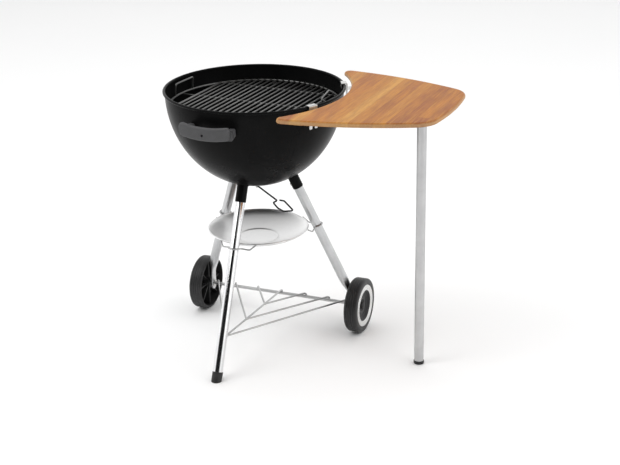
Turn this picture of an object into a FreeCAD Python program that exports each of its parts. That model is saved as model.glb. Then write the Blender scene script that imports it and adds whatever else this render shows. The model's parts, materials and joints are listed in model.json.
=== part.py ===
import FreeCAD, Part
import math
import os

from FreeCAD import Vector

# Kettle charcoal grill with a side table.
#
# Millimetres, +Z up, floor at z = 0. Everything is drawn around the bowl's own axis, with the
# single front leg towards -Y, the two wheels towards +Y and the side table towards +X, and is
# moved on export so that the origin lies on the floor under the middle of the whole grill.

# --- Bowl -----------------------------------------------------------------------------------
RIM_RADIUS = 237.5
RIM_TOP = 714.0
BEAD_RADIUS = 3.6
BOWL_RADIUS = 232.3
BOWL_DEPTH = 255.8
SHOULDER_Z = 710.0
SHEET = 1.2
VENT_INNER = 24.0
VENT_OUTER = 60.0
VENT_HALF_ANGLE = 22.0
VENT_AZIMUTHS = (90.0, 210.0, 330.0)
BOWL_BOTTOM = SHOULDER_Z - BOWL_DEPTH

# --- Legs -----------------------------------------------------------------------------------
LEG_RADIUS = 12.7
LEG_WALL = 1.2
FRONT_LEG_TOP_RADIUS = 93.9
REAR_LEG_TOP_RADIUS = 96.5
LEG_TOP_Z = 462.5
FRONT_AZIMUTH = -90.0
REAR_AZIMUTH = 30.0
FRONT_FOOT_RADIUS = 286.0
REAR_LEG_POINT = Vector(200.0, 121.5, 150.0)
SLEEVE_RADIUS = 14.4
SLEEVE_REACH = 32.0
FOOT_CAP_RADIUS = 13.9
FOOT_CAP_HEIGHT = 24.0
CRIMP_START_Z = 168.0
CRIMP_END_Z = 114.0
PLATE_X = 211.0
PLATE_THICKNESS = 6.0
PLATE_HALF_WIDTH = 12.0
PLATE_END_Z = 70.0
BUTTON_RADIUS = 4.0
LEG_NAMES = ("front", "right", "left")

# --- Axle and wheels ------------------------------------------------------------------------
AXLE_Y = 140.0
AXLE_RADIUS = 4.5
AXLE_HALF_LENGTH = 246.0
WHEEL_RADIUS = 75.5
WHEEL_INNER_X = 216.5
WHEEL_WIDTH = 38.0
HUB_RADIUS = 15.0
BORE_CLEARANCE = 0.06
TYRE_THICKNESS = 7.0
TRIM_INNER = 43.5
TRIM_OUTER = 58.5

# --- Wire rack and ash pan ------------------------------------------------------------------
RACK_WIRE = 2.5
RACK_FRONT_Z = 101.0
RACK_HOOK_PITCH = 70.0
RACK_OUTER_X = 196.0
RACK_RIB_FORK_Y = (-95.0, 27.0)
PAN_RADIUS = 135.3
PAN_RIM_Z = 329.0
PAN_DEPTH = 29.0
PAN_DISC_RADIUS = 52.0
PAN_DISC_DROP = 2.2
PAN_SHEET = 1.2
PAN_BEAD = 2.0
CLIP_WIRE = 2.0

# --- Grates ---------------------------------------------------------------------------------
GRATE_Z = 672.0
GRATE_RADIUS = 222.0
GRATE_RING_WIRE = 3.0
GRATE_ROD = 2.3
GRATE_OUTER_ROD = 3.4
GRATE_ROD_COUNT = 22
GRATE_ROD_SPAN = 350.0
GRATE_TURN = -3.0
GRATE_CROSS_Y = (-145.0, 8.0, 145.0)
LIFT_WIRE = 2.4
LIFT_HALF_WIDTH = 42.0
COAL_GRATE_Z = 548.0
COAL_GRATE_RADIUS = 168.0
COAL_ROD = 2.5
COAL_ROD_PITCH = 21.0
TAB_AZIMUTHS = (60.0, 120.0, 240.0, 300.0)

# --- Damper ---------------------------------------------------------------------------------
SHAFT_RADIUS = 4.0
SHAFT_END_Z = 438.8
NUT_Z = 447.4
NUT_HEIGHT = 3.2
HUB_Z = BOWL_BOTTOM + 3.6
LEVER_WIRE = 2.25
LEVER_AZIMUTH = -28.0
LEVER_ROOT_Z = 443.0
LEVER_SLOPE = 0.25
BLADE_REACH = 150.0
BLADE_HALF_ANGLE = 24.0
BLADE_AZIMUTHS = (55.0, 175.0, 295.0)
BLADE_SHEET = 1.5

# --- Handles --------------------------------------------------------------------------------
HANDLE_AZIMUTHS = {"front": -93.9, "rear": 86.1}
HANDLE_FACE_RADIUS = 275.0
HANDLE_THICKNESS = 13.0
HANDLE_HALF_ANGLE = 15.0
HANDLE_LOW_Z = 645.5
HANDLE_HIGH_Z = 685.0
HANDLE_SCOOP = 6.0
HANDLE_BOW = 6.0
HANDLE_CORNER = 9.0
HANDLE_EDGE = 2.0
LANYARD_HOLE_RADIUS = 3.4
HANDLE_ARM_ANGLES = (12.4, 16.3)
HANDLE_ARM_LOW_Z = 649.0
HANDLE_ARM_HIGH_Z = 671.0
HANDLE_SCREW_Z = 662.0
HANDLE_SCREW_ANGLE = 14.3
HANDLE_SCREW_RADIUS = 2.9
HANDLE_SCREW_DEPTH = 18.0

# --- Side table -----------------------------------------------------------------------------
TABLE_TOP_Z = 713.0
TABLE_THICKNESS = 12.0
TABLE_UNDER_Z = TABLE_TOP_Z - TABLE_THICKNESS
TABLE_RIGHT_X = 541.0
TABLE_MIDDLE_X = 300.0
TABLE_OUTER_ROUNDING = 66.0
CUTOUT_RADIUS = 345.0
CUTOUT_CENTRE_X = -100.0
CUTOUT_HALF_ANGLE = 45.8
TABLE_LEG_X = 457.0
TABLE_LEG_RADIUS = 12.5
TABLE_FOOT_HEIGHT = 9.0
FLANGE_SHEET = 2.5
FLANGE_SCREW_RADIUS = 25.0
HOOK_AZIMUTHS = {"front": -28.5, "rear": 28.5}
HOOK_PLATE_RADIUS = 240.4
HOOK_WIDTH = 26.0
HOOK_SHEET = 1.6
HOOK_PRONG_Z = 656.0
HOOK_LIP_RADIUS = 226.5
HOOK_TONGUE_RADIUS = 285.0
HOOK_SCREW_RADII = (258.0, 274.0)

# --- Where the origin is --------------------------------------------------------------------
LEG_TILT = math.atan2(FRONT_FOOT_RADIUS - FRONT_LEG_TOP_RADIUS, LEG_TOP_Z)
LEFT_REACH = WHEEL_INNER_X + WHEEL_WIDTH
FRONT_REACH = FRONT_FOOT_RADIUS + FOOT_CAP_RADIUS / math.cos(LEG_TILT)
BOWL_AXIS = Vector((LEFT_REACH - TABLE_RIGHT_X) / 2, (FRONT_REACH - HANDLE_FACE_RADIUS) / 2, 0)

UP = Vector(0, 0, 1)
ALONG_X = Vector(1, 0, 0)


# --- Small helpers --------------------------------------------------------------------------
def polar(radius, azimuth, z=0.0):
    angle = math.radians(azimuth)
    return Vector(radius * math.cos(angle), radius * math.sin(angle), z)


def turned(shape, azimuth):
    """The shape turned about the bowl's axis."""
    copy = shape.copy()
    copy.rotate(Vector(0, 0, 0), UP, azimuth)
    return copy


def mirrored(shape):
    """The same piece on the other side of the YZ plane."""
    return shape.mirror(Vector(0, 0, 0), ALONG_X)


def rod(start, end, radius):
    return Part.makeCylinder(radius, (end - start).Length, start, end - start)


def tube(start, end, radius, wall):
    return rod(start, end, radius).cut(rod(start, end, radius - wall))


def fused(shapes):
    """One solid from pieces that overlap or are welded."""
    shapes = list(shapes)
    return shapes[0].multiFuse(shapes[1:]).removeSplitter()


def polygon_edges(points):
    return [Part.LineSegment(a, b).toShape() for a, b in zip(points, points[1:])]


def revolved(points, axis=UP, centre=Vector(0, 0, 0), angle=360.0):
    """A closed outline of straight sides, turned about an axis."""
    outline = Part.Wire(polygon_edges(points + points[:1]))
    return Part.Face(outline).revolve(centre, axis, angle)


def rounded_path(points, radii):
    """Straight runs through the points, with a tangent arc of the given radius at each corner."""
    edges = []
    start = points[0]
    for before, corner, after, radius in zip(points, points[1:], points[2:], radii):
        back = (before - corner).normalize()
        onward = (after - corner).normalize()
        half = back.getAngle(onward) / 2
        arc_start = corner + back * (radius / math.tan(half))
        arc_end = corner + onward * (radius / math.tan(half))
        middle = corner + (back + onward).normalize() * (radius / math.sin(half) - radius)
        if (arc_start - start).Length > 0.01:
            edges.append(Part.LineSegment(start, arc_start).toShape())
        edges.append(Part.Arc(arc_start, middle, arc_end).toShape())
        start = arc_end
    edges.append(Part.LineSegment(start, points[-1]).toShape())
    return Part.Wire(edges)


def bent_wire(points, wire_radius, radii):
    """Round wire bent along the points."""
    path = rounded_path(points, radii)
    direction = (points[1] - points[0]).normalize()
    section = Part.Wire([Part.makeCircle(wire_radius, points[0], direction)])
    return path.makePipeShell([section], True, False)


def rounded_box(low, high, radius):
    """A box whose edges along X are rounded."""
    box = Part.makeBox(high.x - low.x, high.y - low.y, high.z - low.z, low)
    edges = [e for e in box.Edges if abs(e.tangentAt(e.FirstParameter).x) > 0.9]
    return box.makeFillet(radius, edges)


# --- Bowl -----------------------------------------------------------------------------------
def bowl_arc(inset, low, high):
    """Arc of the bowl's elliptical section at a distance inside its outer surface.

    The two angles are measured from the bottom of the bowl, in radians.
    """
    bottom = Vector(0, 0, BOWL_BOTTOM + inset)
    side = Vector(BOWL_RADIUS - inset, 0, SHOULDER_Z)
    ellipse = Part.Ellipse(bottom, side, Vector(0, 0, SHOULDER_Z))
    return Part.ArcOfEllipse(ellipse, low, high)


def bowl_angle_at_radius(radius, inset):
    return math.asin(radius / (BOWL_RADIUS - inset))


def bowl_angle_at_height(z, inset):
    return math.acos((SHOULDER_Z - z) / (BOWL_DEPTH - inset))


def bowl_wall_radius(z, inset=0.0):
    return (BOWL_RADIUS - inset) * math.sin(bowl_angle_at_height(z, inset))


def bowl_band(outer_inset, inner_inset, low, high, azimuth, angle):
    """Sheet that follows the bowl's wall, between two insets and two section angles."""
    outer = bowl_arc(outer_inset, low, high).toShape()
    inner = bowl_arc(inner_inset, low, high).toShape()
    ends = [
        Part.LineSegment(a.Point, b.Point).toShape() for a, b in zip(outer.Vertexes, inner.Vertexes)
    ]
    face = Part.Face(Part.Wire(Part.__sortEdges__([outer, inner] + ends)))
    return turned(face.revolve(Vector(0, 0, 0), UP, angle), azimuth - angle / 2)


def bowl_body():
    """Everything inside the bowl's outer surface, as one solid."""
    arc = bowl_arc(0.0, 0.0, math.pi / 2).toShape()
    centre = Vector(0, 0, SHOULDER_Z)
    bottom = Vector(0, 0, BOWL_BOTTOM)
    side = Vector(BOWL_RADIUS, 0, SHOULDER_Z)
    sides = polygon_edges([side, centre, bottom])
    return Part.Face(Part.Wire(Part.__sortEdges__([arc] + sides))).revolve(centre, UP, 360)


def vent_cutters():
    height = 40.0
    base = Vector(0, 0, BOWL_BOTTOM - 5.0)
    for azimuth in VENT_AZIMUTHS:
        angle = 2 * VENT_HALF_ANGLE
        outer = Part.makeCylinder(VENT_OUTER, height, base, UP, angle)
        inner = Part.makeCylinder(VENT_INNER, height, base, UP)
        yield turned(outer.cut(inner), azimuth - VENT_HALF_ANGLE)


def wall_normal(z, azimuth):
    """Unit vector out of the bowl's wall at a height."""
    radial = bowl_wall_radius(z) / BOWL_RADIUS**2
    vertical = (z - SHOULDER_Z) / BOWL_DEPTH**2
    return (polar(radial, azimuth) + Vector(0, 0, vertical)).normalize()


def bowl():
    shell = bowl_band(0.0, SHEET, 0.0, math.pi / 2, 0.0, 360.0)
    bead_centre = Vector(0, 0, RIM_TOP - BEAD_RADIUS)
    bead = Part.makeTorus(RIM_RADIUS - BEAD_RADIUS, BEAD_RADIUS, bead_centre)
    bottom = Vector(0, 0, BOWL_BOTTOM)
    shaft_hole = rod(bottom - UP * 5, bottom + UP * 10, SHAFT_RADIUS + BORE_CLEARANCE)
    holes = [shaft_hole] + list(vent_cutters()) + list(handle_screw_holes())
    return shell.fuse(bead).cut(holes)


# --- Handles --------------------------------------------------------------------------------
def rounded_section(low_radius, high_radius, low_z, high_z, corner):
    """Rounded rectangle in the XZ plane."""
    box = rounded_box(Vector(0, low_radius, low_z), Vector(1, high_radius, high_z), corner)
    face = [f for f in box.Faces if f.CenterOfMass.x < 0.01][0].copy()
    face.rotate(Vector(0, 0, 0), UP, -90)
    return face


def on_radius(edge, radius):
    """Whether an edge lies all along the upright cylinder of that radius."""
    return all(abs(math.hypot(p.x, p.y) - radius) < 0.01 for p in edge.discretize(5))


def handle_sector(section, low_angle, high_angle):
    return turned(section.revolve(Vector(0, 0, 0), UP, high_angle - low_angle), low_angle)


def handle_profile():
    """The grip seen from the front: scooped top, bowed bottom and rounded ends."""
    x = HANDLE_FACE_RADIUS - HANDLE_THICKNESS - 10
    half_width = HANDLE_FACE_RADIUS * math.sin(math.radians(HANDLE_HALF_ANGLE))
    low_end = HANDLE_LOW_Z + HANDLE_BOW

    def arc(left, middle_z, right):
        return Part.Arc(left, Vector(x, 0, middle_z), right).toShape()

    top_left = Vector(x, -half_width, HANDLE_HIGH_Z)
    top_right = Vector(x, half_width, HANDLE_HIGH_Z)
    low_left = Vector(x, -half_width, low_end)
    low_right = Vector(x, half_width, low_end)
    outline = [
        arc(top_left, HANDLE_HIGH_Z - HANDLE_SCOOP, top_right),
        Part.LineSegment(top_right, low_right).toShape(),
        arc(low_right, HANDLE_LOW_Z, low_left),
        Part.LineSegment(low_left, top_left).toShape(),
    ]
    panel = Part.Face(Part.Wire(outline)).extrude(ALONG_X * 60)
    corners = [e for e in panel.Edges if abs(e.tangentAt(e.FirstParameter).x) > 0.9]
    return panel.makeFillet(HANDLE_CORNER, corners)


def handle(azimuth):
    """Moulded grip: a curved bar with a scooped top and two pocketed arms back to the bowl."""
    inner = HANDLE_FACE_RADIUS - HANDLE_THICKNESS
    bar_section = rounded_section(inner, HANDLE_FACE_RADIUS, HANDLE_LOW_Z - 5, HANDLE_HIGH_Z + 5, 1.0)
    bar = handle_sector(bar_section, -HANDLE_HALF_ANGLE - 1, HANDLE_HALF_ANGLE + 1)
    bar = bar.common(handle_profile())
    bar = bar.makeFillet(HANDLE_EDGE, [e for e in bar.Edges if on_radius(e, HANDLE_FACE_RADIUS)])

    arm_section = rounded_section(215.0, inner + 2.0, HANDLE_ARM_LOW_Z, HANDLE_ARM_HIGH_Z, 3.0)
    inner_angle, outer_angle = HANDLE_ARM_ANGLES
    right_arm = handle_sector(arm_section, inner_angle, outer_angle)
    left_arm = handle_sector(arm_section, -outer_angle, -inner_angle)
    pocket = rounded_section(inner - 12, inner - 1, HANDLE_ARM_LOW_Z + 3, HANDLE_ARM_HIGH_Z + 10, 2.0)
    pockets = [
        handle_sector(pocket, 14.4, outer_angle + 1),
        handle_sector(pocket, -outer_angle - 1, -14.4),
    ]
    lanyard_hole = rod(Vector(250, 0, 660), Vector(290, 0, 660), LANYARD_HOLE_RADIUS)
    grip = fused([bar, right_arm, left_arm]).cut(pockets + [lanyard_hole])
    grip = turned(grip, azimuth).cut(bowl_body())
    return grip.cut(list(handle_screw_holes()))


def handle_screw_lines():
    """Wall point and outward direction of each handle screw."""
    for azimuth in HANDLE_AZIMUTHS.values():
        for side in (-HANDLE_SCREW_ANGLE, HANDLE_SCREW_ANGLE):
            place = azimuth + side
            point = polar(bowl_wall_radius(HANDLE_SCREW_Z, SHEET), place, HANDLE_SCREW_Z)
            yield point, wall_normal(HANDLE_SCREW_Z, place)


def handle_screw_holes():
    for point, outward in handle_screw_lines():
        end = point + outward * (HANDLE_SCREW_DEPTH + 1.0)
        yield rod(point - outward * 3, end, HANDLE_SCREW_RADIUS + 0.1)


def handle_screws():
    """Pan-head screws driven from inside the bowl."""
    head_gap = 0.2
    head_height = 2.6
    head_radius = 5.2
    screws = []
    for point, outward in handle_screw_lines():
        seat = point - outward * head_gap
        head = Part.makeCone(head_radius, head_radius - 1.6, head_height, seat, outward * -1)
        shank = rod(seat - outward, seat + outward * HANDLE_SCREW_DEPTH, HANDLE_SCREW_RADIUS)
        screws.append(fused([head, shank]))
    return Part.makeCompound(screws)


# --- Legs -----------------------------------------------------------------------------------
def leg_line(name):
    """A point at the top of the leg's axis and one further down it."""
    if name == "front":
        top = polar(FRONT_LEG_TOP_RADIUS, FRONT_AZIMUTH, LEG_TOP_Z)
        return top, polar(FRONT_FOOT_RADIUS, FRONT_AZIMUTH)
    side = 1 if name == "right" else -1
    top = polar(REAR_LEG_TOP_RADIUS, REAR_AZIMUTH, LEG_TOP_Z)
    top.x *= side
    low = Vector(side * REAR_LEG_POINT.x, REAR_LEG_POINT.y, REAR_LEG_POINT.z)
    return top, low


def leg_direction(name):
    top, low = leg_line(name)
    return (low - top).normalize()


def leg_point(name, z):
    """Where the leg's axis is at a height."""
    top, _ = leg_line(name)
    down = leg_direction(name)
    return top + down * ((z - top.z) / down.z)


def leg_sleeve(name, body):
    """Socket welded to the bowl, its top edge cut to the bowl's curve."""
    top, _ = leg_line(name)
    down = leg_direction(name)
    wall = SLEEVE_RADIUS - LEG_RADIUS - 0.05
    sleeve = tube(top - down * 25, top + down * SLEEVE_REACH, SLEEVE_RADIUS, wall)
    return sleeve.cut(body).cut(snap_button_hole(name))


def snap_button_line(name):
    """Both ends of the snap button, square to the leg on the side towards the bowl's axis."""
    down = leg_direction(name)
    top, _ = leg_line(name)
    centre = top + down * 17.0
    inward = (down * UP.dot(down) - UP).normalize()
    return centre + inward * (LEG_RADIUS - 3.0), centre + inward * (SLEEVE_RADIUS + 1.8)


def snap_button_hole(name):
    start, end = snap_button_line(name)
    return rod(start, end + (end - start), BUTTON_RADIUS + 0.15)


def snap_buttons():
    buttons = []
    for name in LEG_NAMES:
        start, end = snap_button_line(name)
        dome_height = 1.2
        shoulder = end - (end - start).normalize() * dome_height
        dome = Part.makeCone(BUTTON_RADIUS, BUTTON_RADIUS - 1.2, dome_height, shoulder, end - start)
        buttons.append(fused([rod(start, shoulder, BUTTON_RADIUS), dome]))
    return Part.makeCompound(buttons)


def front_leg():
    top, foot = leg_line("front")
    down = leg_direction("front")
    pipe = tube(top + down * 2, foot - down * FOOT_CAP_HEIGHT * 0.6, LEG_RADIUS, LEG_WALL)
    return pipe.cut(snap_button_hole("front"))


def foot_cap():
    """Plastic cup on the front leg, cut level with the floor."""
    _, foot = leg_line("front")
    down = leg_direction("front")
    mouth = foot - down * FOOT_CAP_HEIGHT
    cup = rod(mouth, foot + down * 10, FOOT_CAP_RADIUS)
    socket = rod(mouth - down, foot - down * FOOT_CAP_HEIGHT * 0.6, LEG_RADIUS + 0.03)
    below_floor = Part.makeBox(200, 200, 50, Vector(-100, foot.y - 100, -50))
    return cup.cut([socket, below_floor])


def oval(centre, long_axis, short_axis):
    curve = Part.Ellipse(centre + long_axis, centre + short_axis, centre)
    return Part.Wire([curve.toShape()])


def rear_leg(name):
    """Tube whose lower end is pressed flat and bent upright to take the axle."""
    side = 1 if name == "right" else -1
    top, _ = leg_line(name)
    down = leg_direction(name)
    start = leg_point(name, CRIMP_START_Z)
    pipe = tube(top + down * 2, start, LEG_RADIUS, LEG_WALL)
    back = (Vector(0, 1, 0) - down * down.y).normalize()
    across = down.cross(back)
    crimp_radius = LEG_RADIUS - 0.15
    plate_centre = Vector(side * PLATE_X, AXLE_Y, CRIMP_END_Z)
    crimp = Part.makeLoft(
        [
            oval(start - down * 3, back * crimp_radius, across * (crimp_radius - 0.01)),
            oval(plate_centre, Vector(0, PLATE_HALF_WIDTH, 0), Vector(PLATE_THICKNESS / 2, 0, 0)),
        ],
        True,
    )
    corner = Vector(side * PLATE_X - PLATE_THICKNESS / 2, AXLE_Y - PLATE_HALF_WIDTH, PLATE_END_Z)
    height = CRIMP_END_Z - PLATE_END_Z + 1.0
    plate = Part.makeBox(PLATE_THICKNESS, 2 * PLATE_HALF_WIDTH, height, corner)
    end_start = Vector(corner.x, AXLE_Y, PLATE_END_Z)
    rounded_end = rod(end_start, end_start + ALONG_X * PLATE_THICKNESS, PLATE_HALF_WIDTH)
    hole_start = Vector(side * PLATE_X - 20, AXLE_Y, WHEEL_RADIUS)
    axle_hole = rod(hole_start, hole_start + ALONG_X * 40, AXLE_RADIUS + 0.05)
    leg = fused([pipe, crimp, plate, rounded_end])
    return leg.cut([axle_hole, snap_button_hole(name)])


# --- Axle and wheels ------------------------------------------------------------------------
def axle():
    start = Vector(-AXLE_HALF_LENGTH, AXLE_Y, WHEEL_RADIUS)
    return rod(start, start + ALONG_X * 2 * AXLE_HALF_LENGTH, AXLE_RADIUS)


def turned_about_axle(points):
    """Outline of (distance along X, radius) points, turned about the axle."""
    centre = Vector(0, AXLE_Y, WHEEL_RADIUS)
    outline = [centre + Vector(x, 0, radius) for x, radius in points]
    return revolved(outline, ALONG_X, centre)


def axle_washers():
    """One washer on each side of each leg's flat end."""
    inner_face = PLATE_X - PLATE_THICKNESS / 2
    outer_face = PLATE_X + PLATE_THICKNESS / 2
    washers = []
    for low, high in ((outer_face, WHEEL_INNER_X - 0.5), (inner_face - 1.5, inner_face)):
        outline = [(low, 4.55), (high, 4.55), (high, 10.0), (low, 10.0)]
        washer = turned_about_axle(outline)
        washers += [washer, mirrored(washer)]
    return Part.makeCompound(washers)


def axle_caps():
    """Push-on caps that keep the wheels on the axle."""
    seat = WHEEL_INNER_X + WHEEL_WIDTH - 12.5
    end = AXLE_HALF_LENGTH
    outline = [
        (seat, 4.5),
        (end, 4.5),
        (end, 0.0),
        (end + 4.0, 0.0),
        (end + 3.0, 6.0),
        (end, 9.0),
        (seat + 1.5, 10.5),
        (seat, 10.5),
    ]
    cap = turned_about_axle(outline)
    return Part.makeCompound([cap, mirrored(cap)])


def wheel():
    """Moulded wheel: tread, web near the outer face, hub and ribs open to the inside."""
    inner = WHEEL_INNER_X
    outer = inner + WHEEL_WIDTH
    bore = AXLE_RADIUS + BORE_CLEARANCE
    rim = WHEEL_RADIUS - TYRE_THICKNESS
    outline = [
        (inner + 3, bore),
        (outer - 13, bore),
        (outer - 13, HUB_RADIUS),
        (outer - 10, HUB_RADIUS + 3),
        (outer - 10, TRIM_INNER - 6),
        (outer - 3, TRIM_INNER - 0.4),
        (outer - 3, TRIM_OUTER + 0.4),
        (outer - 0.5, TRIM_OUTER + 1.2),
        (outer, TRIM_OUTER + 5),
        (outer - 1.5, WHEEL_RADIUS - 4.5),
        (outer - 6, WHEEL_RADIUS),
        (inner + 6, WHEEL_RADIUS),
        (inner + 1.5, WHEEL_RADIUS - 4.5),
        (inner, WHEEL_RADIUS - 6),
        (inner, rim),
        (outer - 7, rim - 2),
        (outer - 7, TRIM_INNER + 2),
        (outer - 14, TRIM_INNER - 6),
        (outer - 14, HUB_RADIUS + 1),
        (inner + 3, HUB_RADIUS),
    ]
    body = turned_about_axle(outline)
    rib_count = 8
    rib_start = Vector(inner + 9, AXLE_Y - 1.5, WHEEL_RADIUS + HUB_RADIUS - 2)
    rib = Part.makeBox(outer - 12 - rib_start.x, 3.0, rim - HUB_RADIUS + 3, rib_start)
    ribs = []
    for step in range(rib_count):
        copy = rib.copy()
        copy.rotate(Vector(0, AXLE_Y, WHEEL_RADIUS), ALONG_X, step * 360 / rib_count)
        ribs.append(copy)
    return fused([body] + ribs)


def wheel_trim():
    """Bright ring pressed into the outer face of a wheel."""
    face = WHEEL_INNER_X + WHEEL_WIDTH
    outline = [
        (face - 3, TRIM_INNER),
        (face - 1.0, TRIM_INNER),
        (face - 0.2, TRIM_INNER + 3),
        (face - 0.2, TRIM_OUTER - 3),
        (face - 1.0, TRIM_OUTER),
        (face - 3, TRIM_OUTER),
    ]
    return turned_about_axle(outline)


# --- Wire rack ------------------------------------------------------------------------------
def rack_point(x, y):
    """A point of the rack's plane, which runs from the front leg to the top of the axle."""
    front_y = leg_point("front", RACK_FRONT_Z).y + LEG_RADIUS
    rear_z = WHEEL_RADIUS + AXLE_RADIUS + RACK_WIRE
    share = (y - front_y) / (AXLE_Y - front_y)
    return Vector(x, y, RACK_FRONT_Z + share * (rear_z - RACK_FRONT_Z))


def rack_wire(start, hook_x):
    """One wire from a point of the rack to a hook bent down behind the axle."""
    onward = Vector(hook_x - start.x, AXLE_Y - start.y, 0).normalize()
    wrap = AXLE_RADIUS / onward.y + RACK_WIRE + 0.6
    corner = Vector(hook_x, AXLE_Y, WHEEL_RADIUS + wrap) + onward * wrap
    tip = corner - UP * (wrap + 2.0)
    return bent_wire([start, corner, tip], RACK_WIRE, [wrap * 0.97])


def wire_rack():
    """Welded wire shelf: three nested Vs and a middle rib, hooked over the axle."""
    weld = RACK_WIRE + 0.6
    front_y = leg_point("front", RACK_FRONT_Z).y + LEG_RADIUS + RACK_WIRE + 4
    front = rack_point(0, front_y)
    forks = [front] + [rack_point(0, y) for y in RACK_RIB_FORK_Y]
    hooks = [RACK_OUTER_X, 2 * RACK_HOOK_PITCH, RACK_HOOK_PITCH]
    pieces = [rack_wire(front, 0.0), rod(front, rack_point(0, front_y - 12), RACK_WIRE + 0.3)]
    for fork, hook_x in zip(forks, hooks):
        pieces += [rack_wire(fork, side * hook_x) for side in (-1, 1)]
        pieces.append(Part.makeSphere(weld, fork))
    return fused(pieces).cut(rod(*leg_line("front"), LEG_RADIUS + 0.02))


# --- Ash pan --------------------------------------------------------------------------------
def ash_pan():
    """Shallow pressed pan with a rolled edge and a sunk disc in the middle."""
    rim = PAN_RADIUS - PAN_BEAD
    bottom = PAN_RIM_Z - PAN_DEPTH
    knee = Vector(PAN_DISC_RADIUS + 4, 0, bottom)
    middle = Vector(rim - 24, 0, PAN_RIM_Z - 17)
    edge = Vector(rim, 0, PAN_RIM_Z - PAN_BEAD)
    lift = Vector(0, 0, PAN_SHEET)
    pull = Vector(-PAN_SHEET * 0.9, 0, PAN_SHEET * 0.35)
    under = Part.Arc(knee, middle, edge).toShape()
    upper = Part.Arc(knee + lift, middle + lift, edge + pull).toShape()
    disc_z = bottom - PAN_DISC_DROP
    disc = [
        knee + lift,
        Vector(PAN_DISC_RADIUS, 0, disc_z + PAN_SHEET),
        Vector(0, 0, disc_z + PAN_SHEET),
        Vector(0, 0, disc_z),
        Vector(PAN_DISC_RADIUS - 0.4, 0, disc_z),
        knee,
    ]
    edges = [under, upper] + polygon_edges(disc) + polygon_edges([edge, edge + pull])
    dish = Part.Face(Part.Wire(Part.__sortEdges__(edges))).revolve(Vector(0, 0, 0), UP, 360)
    bead = Part.makeTorus(rim, PAN_BEAD, Vector(0, 0, PAN_RIM_Z - PAN_BEAD))
    return dish.fuse(bead)


def pan_clip(name):
    """Spring wire that loops round a leg, its two arms reaching to the pan's edge."""
    front_z = 325.0
    side_z = 319.0
    axis = leg_point(name, front_z)
    azimuth = math.degrees(math.atan2(axis.y, axis.x))
    tilt = math.cos(leg_direction(name).getAngle(UP * -1))
    side = LEG_RADIUS + CLIP_WIRE + 0.4
    nose = math.hypot(axis.x, axis.y) + LEG_RADIUS / tilt + CLIP_WIRE + 0.6
    tip_radius = PAN_RADIUS + CLIP_WIRE + 0.5
    tip_offset = 50.0
    tip = (math.sqrt(tip_radius**2 - tip_offset**2), tip_offset, PAN_RIM_Z - 3)
    half = [tip, (141.0, 38.0, 316.0), (nose - 22.0, side, side_z), (nose, side, front_z)]
    route = half + [(radius, -offset, z) for radius, offset, z in reversed(half)]
    points = [Vector(radius, offset, z) for radius, offset, z in route]
    bends = [8.0, 5.0, side - 0.1, side - 0.1, 5.0, 8.0]
    return turned(bent_wire(points, CLIP_WIRE, bends), azimuth)


# --- Cooking grate --------------------------------------------------------------------------
def grate_rods(radius, z, wire, offsets):
    """Parallel rods along Y, each ending in the middle of the ring."""
    for x in offsets:
        reach = math.sqrt(radius**2 - x**2)
        yield rod(Vector(x, -reach, z), Vector(x, reach, z), wire)


def cooking_grate():
    pitch = GRATE_ROD_SPAN / (GRATE_ROD_COUNT - 1)
    inner = [i * pitch - GRATE_ROD_SPAN / 2 for i in range(1, GRATE_ROD_COUNT - 1)]
    outer = [-GRATE_ROD_SPAN / 2, GRATE_ROD_SPAN / 2]
    pieces = [Part.makeTorus(GRATE_RADIUS, GRATE_RING_WIRE, Vector(0, 0, GRATE_Z))]
    pieces += grate_rods(GRATE_RADIUS, GRATE_Z + 1.5, GRATE_ROD, inner)
    pieces += grate_rods(GRATE_RADIUS, GRATE_Z + 0.5, GRATE_OUTER_ROD, outer)
    for rod_across in grate_rods(GRATE_RADIUS, GRATE_Z - 2.5, GRATE_ROD, GRATE_CROSS_Y):
        pieces.append(turned(rod_across, 90))
    return turned(fused(pieces), GRATE_TURN)


def lift_handle(azimuth, lean, upper):
    """Bent wire handle that stands on the grate's ring, leaning towards the middle."""
    half_width = LIFT_HALF_WIDTH
    foot_radius = math.sqrt(GRATE_RADIUS**2 - half_width**2)
    knee_z = GRATE_Z + 14.0
    tilt = math.radians(lean)
    top_radius = foot_radius - upper * math.sin(tilt)
    top_z = knee_z + upper * math.cos(tilt)
    half = [
        (foot_radius, half_width, GRATE_Z),
        (foot_radius, half_width, knee_z),
        (top_radius, half_width, top_z),
    ]
    route = half + [(radius, -offset, z) for radius, offset, z in reversed(half)]
    points = [Vector(radius, offset, z) for radius, offset, z in route]
    wire = bent_wire(points, LIFT_WIRE, [6.0, 6.0, 6.0, 6.0])
    ring = Part.makeTorus(GRATE_RADIUS, GRATE_RING_WIRE, Vector(0, 0, GRATE_Z))
    return turned(wire.cut(ring), azimuth)


def grate_handles():
    return Part.makeCompound([lift_handle(174.0, 8.0, 20.0), lift_handle(8.0, 59.0, 34.0)])


def wall_tabs(shelf_z, width, wall_height, shelf_reach):
    """Sheet brackets on the bowl's inner wall, each with a shelf for a grate."""
    thickness = 1.5
    inset = SHEET + thickness
    low = bowl_angle_at_height(shelf_z - 12, SHEET)
    high = bowl_angle_at_height(shelf_z + wall_height, SHEET)
    outer = bowl_wall_radius(shelf_z - thickness, inset)
    angle = math.degrees(width / outer)
    shelf_low = Vector(outer - shelf_reach, -width / 2 + 0.5, shelf_z - thickness)
    flange = bowl_band(SHEET, inset, low, high, 0.0, angle)
    tab = fused([flange, Part.makeBox(shelf_reach, width - 1.0, thickness, shelf_low)])
    return Part.makeCompound([turned(tab, azimuth) for azimuth in TAB_AZIMUTHS])


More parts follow.
